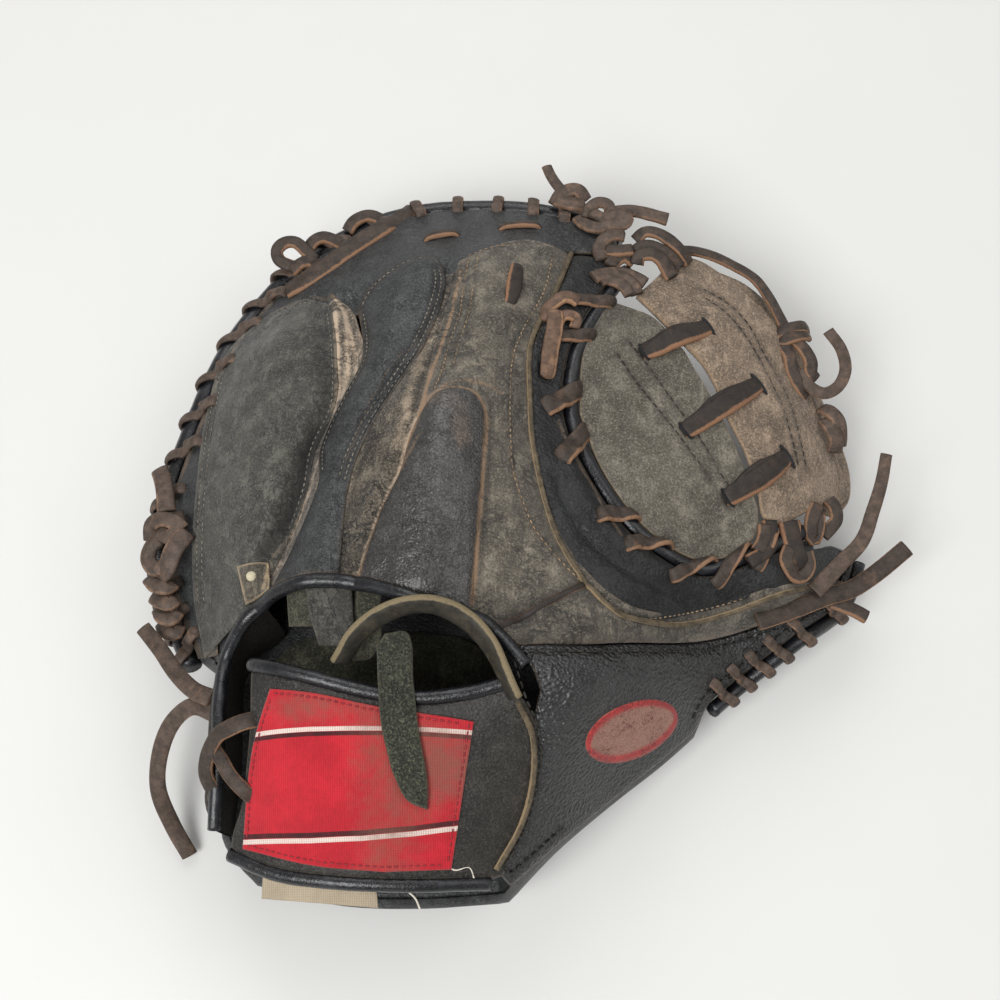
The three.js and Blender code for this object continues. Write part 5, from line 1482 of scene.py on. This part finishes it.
def make_laces(paints):
    """The laces that lie flat on the leather."""
    for name, node, line, above, width, paint, blunt in (
            ("band_lace_left", "band_lace_1",
             [(-33, 116.5), (-31, 117), (-25, 118.5), (-19, 119), (-17, 119)], [-1.5, 0.8, 1.3, 0.8, -1.5],
             4.4, "lace_tan", 0.3),
            ("band_lace_right", "band_lace_2", [(-1, 122.7), (1, 123), (8, 124.5), (16, 125), (18, 125)],
             [-1.5, 0.8, 1.3, 0.8, -1.5], 4.4, "lace_tan", 0.3),
            ("index_slot_lace", "index_lace", [(6.5, 97), (6.5, 94), (5.5, 85), (4, 75), (3, 72)],
             [-1, 1.2, 1.8, 1.2, -1], 6.4, "lace_dark", 0.5),
            ("folded_strip", "folded_lace", [(17.5, 42), (17.6, 44), (18.6, 54), (20.5, 64), (22, 73)],
             [1.6, 2.6, 3.4, 4.2, 3.6], 7.0, "lace_bare", 0.12)):
        shape = Shape()
        path, ups = over_skin(line, above, 1.0)
        rounding = np.sin(np.pi * np.linspace(0, 1, len(path))) ** blunt
        swept(shape, path, ups, lit_section(width, 2.0),
              scale=0.25 + 0.75 * rounding + 0.05 * wobble(path, 5, len(name)))
        if node == "folded_lace":
            strands(shape, FOLD_STRANDS)
        shape.object(name, paints[paint], [node])
    # A near-black strip along the index lace: painted shade of its slot
    slot = Shape()
    path, ups = over_skin([(4.6, 97), (4.2, 85), (2.2, 73)], [0.6, 0.9, 0.6], 1.0)
    swept(slot, path, ups, flat_section(3.6, 0.8, 0),
          scale=0.2 + 0.8 * np.sin(np.pi * np.linspace(0, 1, len(path))) ** 0.6)
    slot.object("index_slot", paints["dark"], slot="lining")
    arc = Shape()
    ribbon(arc, [(80, 117, 56), (85, 117.5, 54.5), (93, 116, 53), (102, 112, 51.6), (111, 106, 50.8),
                 (117, 96, 50.6), (121, 86, 50.6), (123, 81, 50)], 4.8, 2.3, up=(0.2, 0.2, 0.95), wave=0.06)
    arc.object("web_arc_lace", paints["lace_tan"], ["web_top_lace"])


# Lace strands of the bows and knots: width and points in space
FOLD_STRANDS = (
    (4.5, [(19, 69, 78), (19, 74, 79), (22, 78, 79.5), (26, 81, 79.5), (30, 81, 78), (32, 80, 76)]),
    (3.6, [(23, 67, 80), (25, 71, 81), (28, 72, 81), (31, 71, 79), (30, 67, 78)]),
)
STRANDS = {
    "rim_knot_upper": ("lace_tan", [
        (4.6, [(-86, 112, 49), (-92, 113, 50), (-97, 116, 50), (-98, 120, 51), (-95, 123, 52), (-90, 123, 53),
               (-85, 119, 52), (-81, 115, 51)]),
        (4.6, [(-85, 120, 50), (-82, 124, 52), (-78, 126, 52), (-72, 124, 52), (-67, 120, 51)]),
        (4.6, [(-91, 110, 50), (-87, 113, 52), (-83, 114, 52), (-79, 111, 50)])]),
    "rim_knot_lower": ("lace", [
        (5.2, [(-143, -11, 42), (-142, -6, 47), (-137, -5, 51), (-131, -7, 52), (-128, -10, 52)]),
        (4.6, [(-132, -2, 48), (-130, -8, 52), (-133, -13, 52), (-138, -10, 49)]),
        (6.6, [(-126, -11, 52), (-128, -14, 53), (-131, -19, 52), (-134, -25, 48), (-138, -27, 42)]),
        (5.0, [(-138, -12, 47), (-142, -15, 45), (-143, -20, 44), (-140, -24, 44), (-136, -23, 46)])]),
    "top_knot": ("lace_tan", [
        (4.6, [(45, 110, 67), (50, 109, 69), (56, 110, 68)]),
        (5.6, [(47, 102, 65), (49, 106, 67), (53, 108, 67), (57, 106, 65)]),
        (4.4, [(58, 117, 64), (62, 120, 66), (68, 119, 66), (73, 116, 65), (78, 112, 63), (81, 109, 59)]),
        (5.0, [(57, 110, 66), (62, 112, 67), (68, 111, 66), (73, 108, 64), (77, 105, 60)]),
        (4.8, [(58, 104, 66), (59, 107, 68), (64, 108, 68), (68, 106, 67), (71, 102, 65), (73, 99, 61)])]),
    "web_knot": ("lace_tan", [
        (4.6, [(118, 82, 46), (120, 80, 51), (124, 81, 52), (130, 83, 50), (133, 84, 45)]),
        (4.6, [(119, 78, 46), (121, 76, 51), (125, 77, 52), (130, 79, 50), (133, 81, 45)]),
        (4.6, [(121, 74, 50), (123, 69, 51), (124, 61, 50.5), (127, 55, 49), (130, 52, 46)]),
        (4.6, [(127, 76, 50), (130, 71, 51), (132, 66, 50.5), (132, 61, 50), (134, 59, 48)])]),
    "tip_knot": ("lace_tan", [
        (4.6, [(130, 2, 46), (127, -4, 47), (126, -10, 47), (127, -13, 47), (129, -9, 48), (130, -2, 48)]),
        (4.6, [(136, 6, 43), (138, 3, 44), (138, -3, 45), (135, -7, 45), (132, -10, 45)])]),
}
MORE_STRANDS = (
    ("rim_thick_strand", "lace_tan", [
        (6.6, [(-92, 99, 52), (-86, 101, 54), (-79, 105, 55), (-71, 111, 55), (-61, 120, 54), (-50, 130, 52),
               (-42, 139, 49), (-39, 146, 44)]),
        (4.8, [(-68, 132, 47), (-65, 136, 49), (-59, 139, 49), (-53, 136, 50), (-51, 130, 50)])]),
    ("rim_braid", "lace", [
        (6.0, [(-142, 19, 44), (-139, 13, 48), (-137, 5, 49), (-136, -1, 49)]),
        (5.0, [(-143, -27, 40), (-139, -31, 44), (-134, -32, 45), (-132, -30, 43)]),
        (5.0, [(-141, -34, 38), (-137, -37, 42), (-133, -38, 43), (-131, -36, 42)]),
        (5.0, [(-139, -39, 36), (-136, -43, 40), (-132, -44, 41), (-130, -41, 40)]),
        (5.0, [(-138, -44, 33), (-135, -48, 37), (-131, -49, 38), (-130, -46, 37)])]),
    ("top_bow", "lace", [
        (4.6, [(46, 132, 62), (50, 132, 63), (58, 133, 62), (65, 132, 61), (73, 130, 60)]),
        (4.6, [(34, 132, 58), (37, 127, 61), (42, 124, 63), (48, 125, 64), (53, 125, 64), (55, 128, 64),
               (51, 130, 64), (45, 129, 63), (40, 133, 61)]),
        (4.2, [(38, 131, 60), (39, 135, 61), (43, 138, 61), (47, 137, 61), (48, 133, 62)]),
        (4.6, [(43, 105, 66), (42, 111, 67), (44, 115, 67), (48, 118, 67), (53, 118, 66)]),
        (4.6, [(39, 94, 63), (42, 96, 66), (47, 98, 68), (53, 98, 68), (58, 96, 67), (61, 94, 63)]),
        (4.2, [(42, 93, 64), (45, 94, 67), (49, 93, 68), (52, 91, 67), (54, 87, 63)]),
        (4.6, [(47, 97, 66), (53, 95, 68), (56, 91, 67), (57, 88, 62)]),
        (5.6, [(24, 140, 55), (28, 145, 58), (34, 146, 59), (38, 142, 56)]),
        (5.6, [(25, 142, 57), (31, 139, 59), (37, 139, 57)])]),
    ("web_side_loops", "lace", [
        (5.0, [(137, 47, 44), (139, 44, 48), (142, 40, 48), (143, 35, 46), (143, 31, 42)]),
        (5.0, [(137, 41, 46), (139, 36, 48), (141, 32, 46), (141, 28, 42)])]),
    ("crotch_hanging_lace", "lace_dark", [
        (6.4, [(115, -8, 55), (116, -13, 56), (117, -19, 56), (119, -24, 55), (120, -26, 53)]),
        (4.8, [(107, -9, 58), (107, -15, 58), (106, -20, 57), (102, -24, 56), (97, -27, 55)])]),
    ("crotch_hanging_loop", "lace_tan", [
        (4.6, [(115, -19, 55), (113, -24, 55), (114, -27, 54), (117, -30, 53), (121, -29, 53), (123, -25, 53),
               (122, -20, 54)]),
        (4.4, [(105, -11, 57), (104, -17, 57), (101, -22, 56)]),
        (4.6, [(135, -36, 38), (140, -38, 38), (145, -40, 37), (149, -42, 36)])]),
)


def strands(shape, laces):
    """Flat laces through points in space, kept on top of the leather where they cross it."""
    for index, (width, points) in enumerate(laces):
        path = smooth_line(points, 1.0)
        on = inside(path[:, 0], path[:, 1], OUTER_LINE)
        path[:, 2] = np.where(on, np.maximum(path[:, 2], skin(path[:, 0], path[:, 1]) + 2.2), path[:, 2])
        for _ in range(4):
            path[1:-1, 2] = (path[:-2, 2] + 2 * path[1:-1, 2] + path[2:, 2]) / 4
        ups = np.tile((0.0, 0.0, 1.0), (len(path), 1))
        ups[:, :2] += 0.25 * np.stack([wobble(path, 14, index), wobble(path, 14, index + 5)], -1)
        swept(shape, path, ups, lit_section(1.22 * width, 2.4), scale=1 + 0.07 * wobble(path, 6, index))


def make_knots(paints):
    """The bows and knots."""
    for node, (paint, laces) in STRANDS.items():
        shape = Shape()
        strands(shape, laces)
        shape.object(node + "_lace", paints[paint], [node])
    for name, paint, laces in MORE_STRANDS:
        shape = Shape()
        strands(shape, laces)
        shape.object(name, paints[paint])


# Free lace ends, as the CAD has them: width where it leaves and at its end, points in space
TAILS = {
    "tail_left_upper": (6.8, 6.2, [(-109, -80, 62), (-117, -76, 56), (-126, -68, 49), (-135, -57, 43),
                                   (-144, -47, 38)]),
    "tail_left_lower": (7.0, 6.4, [(-106, -86, 58), (-116, -82, 56), (-126, -86, 47), (-133, -96, 36),
                                   (-136, -109, 23), (-132, -122, 11), (-126, -133, 3.5)]),
    "tail_right_upper": (6.8, 4.8, [(126, -34, 46.3), (136, -24, 46.6), (147, -13, 47), (153, 0, 46),
                                    (158, 13, 46), (161, 25, 47)]),
    "tail_right_lower": (7.4, 7.4, [(101, -48, 52.4), (112, -44, 50), (121, -40, 46.5), (132, -35, 42),
                                    (143, -31, 38.5), (154, -24, 37), (168, -13, 38)]),
    "tail_web": (5.2, 5.0, [(127.2, 62.4, 49.6), (131, 55, 49.5), (137, 52, 49), (143, 55, 49), (147, 63, 49),
                            (146, 73, 49), (141, 81, 50)]),
    "tail_top": (5.0, 4.6, [(38, 136, 55.4), (33, 141, 57), (27, 148, 56), (23, 156, 54), (21, 162, 53)]),
}


def make_tails(paints):
    """The free lace ends, each a cord."""
    for name, (wide, end, points) in TAILS.items():
        shape = Shape()
        path = smooth_line(points, 1.0)
        ups = np.tile((0.0, 0.0, 1.0), (len(path), 1))
        ups[:, :2] += 0.2 * np.stack([wobble(path, 20, 3), wobble(path, 20, 8)], -1)
        swept(shape, path, ups, flat_section(wide, 1.8), scale=np.linspace(1, end / wide, len(path)))
        thing = shape.object(name + "_lace", paints["lace_tan" if name == "tail_right_lower" else "lace"],
                             [name])


LENS, SENSOR = 45, 36
CAMERA_DISTANCE, CAMERA_TILT, TARGET_HEIGHT = 0.5, math.radians(70), 0.06
FLOOR_REACH = 3
# name, place and size in metres, share of the key power
LAMPS = (("key", (-0.55, -0.7, 1.15), 0.7, 1.0), ("fill", (0.9, 0.2, 1.1), 1.0, 0.3),
         ("top", (-0.1, 0.9, 1.0), 0.8, 0.35))
LAMP_TARGET = Vector((0, 0, 0.03))


def make_camera():
    """The photo's view: from 70 degrees above the floor."""
    data = bpy.data.cameras.new("camera")
    data.lens, data.sensor_width = LENS, SENSOR
    camera = bpy.data.objects.new("camera", data)
    target = Vector((SHIFT[0] / 1000, SHIFT[1] / 1000, TARGET_HEIGHT))
    camera.location = target + CAMERA_DISTANCE * Vector((0, -math.cos(CAMERA_TILT), math.sin(CAMERA_TILT)))
    camera.rotation_euler = (target - camera.location).to_track_quat("-Z", "Y").to_euler()
    bpy.context.scene.collection.objects.link(camera)
    bpy.context.scene.camera = camera


def make_stage(look):
    """The floor, the even light and the lamps."""
    mesh = bpy.data.meshes.new("floor")
    corners = [(-1, -1), (1, -1), (1, 1), (-1, 1)]
    mesh.from_pydata([(FLOOR_REACH * x, FLOOR_REACH * y, 0) for x, y in corners], [], [(0, 1, 2, 3)])
    floor = bpy.data.objects.new("floor", mesh)
    paint = Paint("floor_paint")
    colour = tuple(look.floor) + (1,)
    mesh.materials.append(paint.done(paint.mix(paint.noise(60, 3.0), shaded(colour, 0.97), colour), 0.8,
                                     Specular_IOR_Level=0.2))
    bpy.context.scene.collection.objects.link(floor)
    world = bpy.data.worlds.new("world")
    world.use_nodes = True
    world.node_tree.nodes["Background"].inputs[0].default_value = (1.0, 0.99, 0.97, 1)
    world.node_tree.nodes["Background"].inputs[1].default_value = look.surround
    bpy.context.scene.world = world
    bpy.context.scene.view_settings.view_transform = "Standard"
    for name, place, size, share in LAMPS:
        data = bpy.data.lights.new(name, "AREA")
        data.size, data.energy = size, look.key_power * share
        light = bpy.data.objects.new(name, data)
        light.location = place
        light.rotation_euler = (LAMP_TARGET - Vector(place)).to_track_quat("-Z", "Y").to_euler()
        bpy.context.scene.collection.objects.link(light)


# The add-on
def colour_property(name, description, default):
    return bpy.props.FloatVectorProperty(name=name, description=description, subtype="COLOR", size=3, min=0,
                                         max=1, default=default[:3])


class MittSettings(bpy.types.PropertyGroup):
    """Colours and light that a user may change before building"""

    black: colour_property("Black leather", "Dye of the thumb, rim band and finger strip", rgb(54, 55, 56))
    olive: colour_property("Little finger leather", "Dye of the large panel at the left", rgb(68, 67, 61))
    index: colour_property("Index finger leather", "Dye of the index finger and the crotch", rgb(92, 86, 76))
    inner_web: colour_property("Inner web suede", "Colour of the web's inner layer", rgb(98, 93, 83))
    outer_web: colour_property("Outer web suede", "Colour of the web's outer layers", rgb(125, 109, 93))
    piping: colour_property("Piping", "Dye of the rolled edges", rgb(24, 25, 29))
    lace: colour_property("Lace", "Dye of the laces' faces", rgb(88, 73, 63))
    red: colour_property("Red cloth", "Colour of the strap's cloth", rgb(188, 30, 44))
    floor: colour_property("Floor", "Colour of the stage's floor", rgb(203, 203, 201))
    key_power: bpy.props.FloatProperty(name="Key light", description="Power of the main lamp", default=19.5,
                                       min=0, subtype="POWER", unit="POWER")
    surround: bpy.props.FloatProperty(name="Surround", description="Strength of the even light",
                                      default=0.42, min=0, subtype="FACTOR")


PAINTS = {}


def paints_for(context):
    """The materials, made on first use."""
    if not PAINTS:
        PAINTS.update(make_paints(context.scene.mitt_settings))
    return PAINTS


class MITT_OT_free_laces(bpy.types.Operator):
    """Adds the lace ends that hang free"""

    bl_idname = "mitt.free_laces"
    bl_label = "Free lace ends"

    def execute(self, context):
        make_tails(paints_for(context))
        return {"FINISHED"}


class MITT_OT_palm(bpy.types.Operator):
    """Adds the padded palm"""

    bl_idname = "mitt.palm"
    bl_label = "Palm"

    def execute(self, context):
        make_palm(paints_for(context))
        return {"FINISHED"}


class MITT_OT_back(bpy.types.Operator):
    """Adds the leather pieces of the back with their stitches"""

    bl_idname = "mitt.back"
    bl_label = "Back leather"

    def execute(self, context):
        make_back(paints_for(context))
        return {"FINISHED"}


class MITT_OT_thumb(bpy.types.Operator):
    """Adds the thumb leather and its oval patch"""

    bl_idname = "mitt.thumb"
    bl_label = "Thumb"

    def execute(self, context):
        make_thumb(paints_for(context))
        return {"FINISHED"}


class MITT_OT_web(bpy.types.Operator):
    """Adds the web's suede layers and the laces that join them"""

    bl_idname = "mitt.web"
    bl_label = "Web"

    def execute(self, context):
        make_web(paints_for(context))
        return {"FINISHED"}


class MITT_OT_opening(bpy.types.Operator):
    """Adds the hand opening with its lining, finger stall and label"""

    bl_idname = "mitt.opening"
    bl_label = "Hand opening"

    def execute(self, context):
        make_opening(paints_for(context))
        return {"FINISHED"}


class MITT_OT_strap(bpy.types.Operator):
    """Adds the wrist strap with its cloth, tabs and side lace"""

    bl_idname = "mitt.strap"
    bl_label = "Wrist strap"

    def execute(self, context):
        make_strap(paints_for(context))
        return {"FINISHED"}


class MITT_OT_edges(bpy.types.Operator):
    """Adds the rolled edges and raw welts"""

    bl_idname = "mitt.edges"
    bl_label = "Edges"

    def execute(self, context):
        make_edges(paints_for(context))
        return {"FINISHED"}


class MITT_OT_wraps(bpy.types.Operator):
    """Adds the laces wound round the edges"""

    bl_idname = "mitt.wraps"
    bl_label = "Wound laces"

    def execute(self, context):
        make_wraps(paints_for(context))
        return {"FINISHED"}


class MITT_OT_laces(bpy.types.Operator):
    """Adds the laces that lie flat on the leather"""

    bl_idname = "mitt.laces"
    bl_label = "Flat laces"

    def execute(self, context):
        make_laces(paints_for(context))
        return {"FINISHED"}


class MITT_OT_knots(bpy.types.Operator):
    """Adds the bows and knots"""

    bl_idname = "mitt.knots"
    bl_label = "Knots"

    def execute(self, context):
        make_knots(paints_for(context))
        return {"FINISHED"}


class MITT_OT_stage(bpy.types.Operator):
    """Adds the camera, the floor and the lamps"""

    bl_idname = "mitt.stage"
    bl_label = "Stage"

    def execute(self, context):
        make_camera()
        make_stage(context.scene.mitt_settings)
        return {"FINISHED"}


OPERATORS = (MITT_OT_stage, MITT_OT_free_laces, MITT_OT_palm, MITT_OT_back, MITT_OT_thumb, MITT_OT_web,
             MITT_OT_opening, MITT_OT_strap, MITT_OT_edges, MITT_OT_wraps, MITT_OT_laces, MITT_OT_knots)


class MITT_PT_panel(bpy.types.Panel):
    """Lists the mitt's settings and pieces"""

    bl_idname = "MITT_PT_panel"
    bl_label = "Worn Catcher Mitt"
    bl_space_type = "VIEW_3D"
    bl_region_type = "UI"
    bl_category = "Mitt"

    def draw(self, context):
        column = self.layout.column()
        for name in MittSettings.__annotations__:
            column.prop(context.scene.mitt_settings, name)
        for operator in OPERATORS:
            column.operator(operator.bl_idname)


CLASSES = (MittSettings,) + OPERATORS + (MITT_PT_panel,)


def register():
    for cls in CLASSES:
        bpy.utils.register_class(cls)
    bpy.types.Scene.mitt_settings = bpy.props.PointerProperty(type=MittSettings)


def unregister():
    del bpy.types.Scene.mitt_settings
    for cls in reversed(CLASSES):
        bpy.utils.unregister_class(cls)


def main():
    register()
    for operator in OPERATORS:
        group, name = operator.bl_idname.split(".")
        getattr(getattr(bpy.ops, group), name)()


if __name__ == "__main__":
    main()
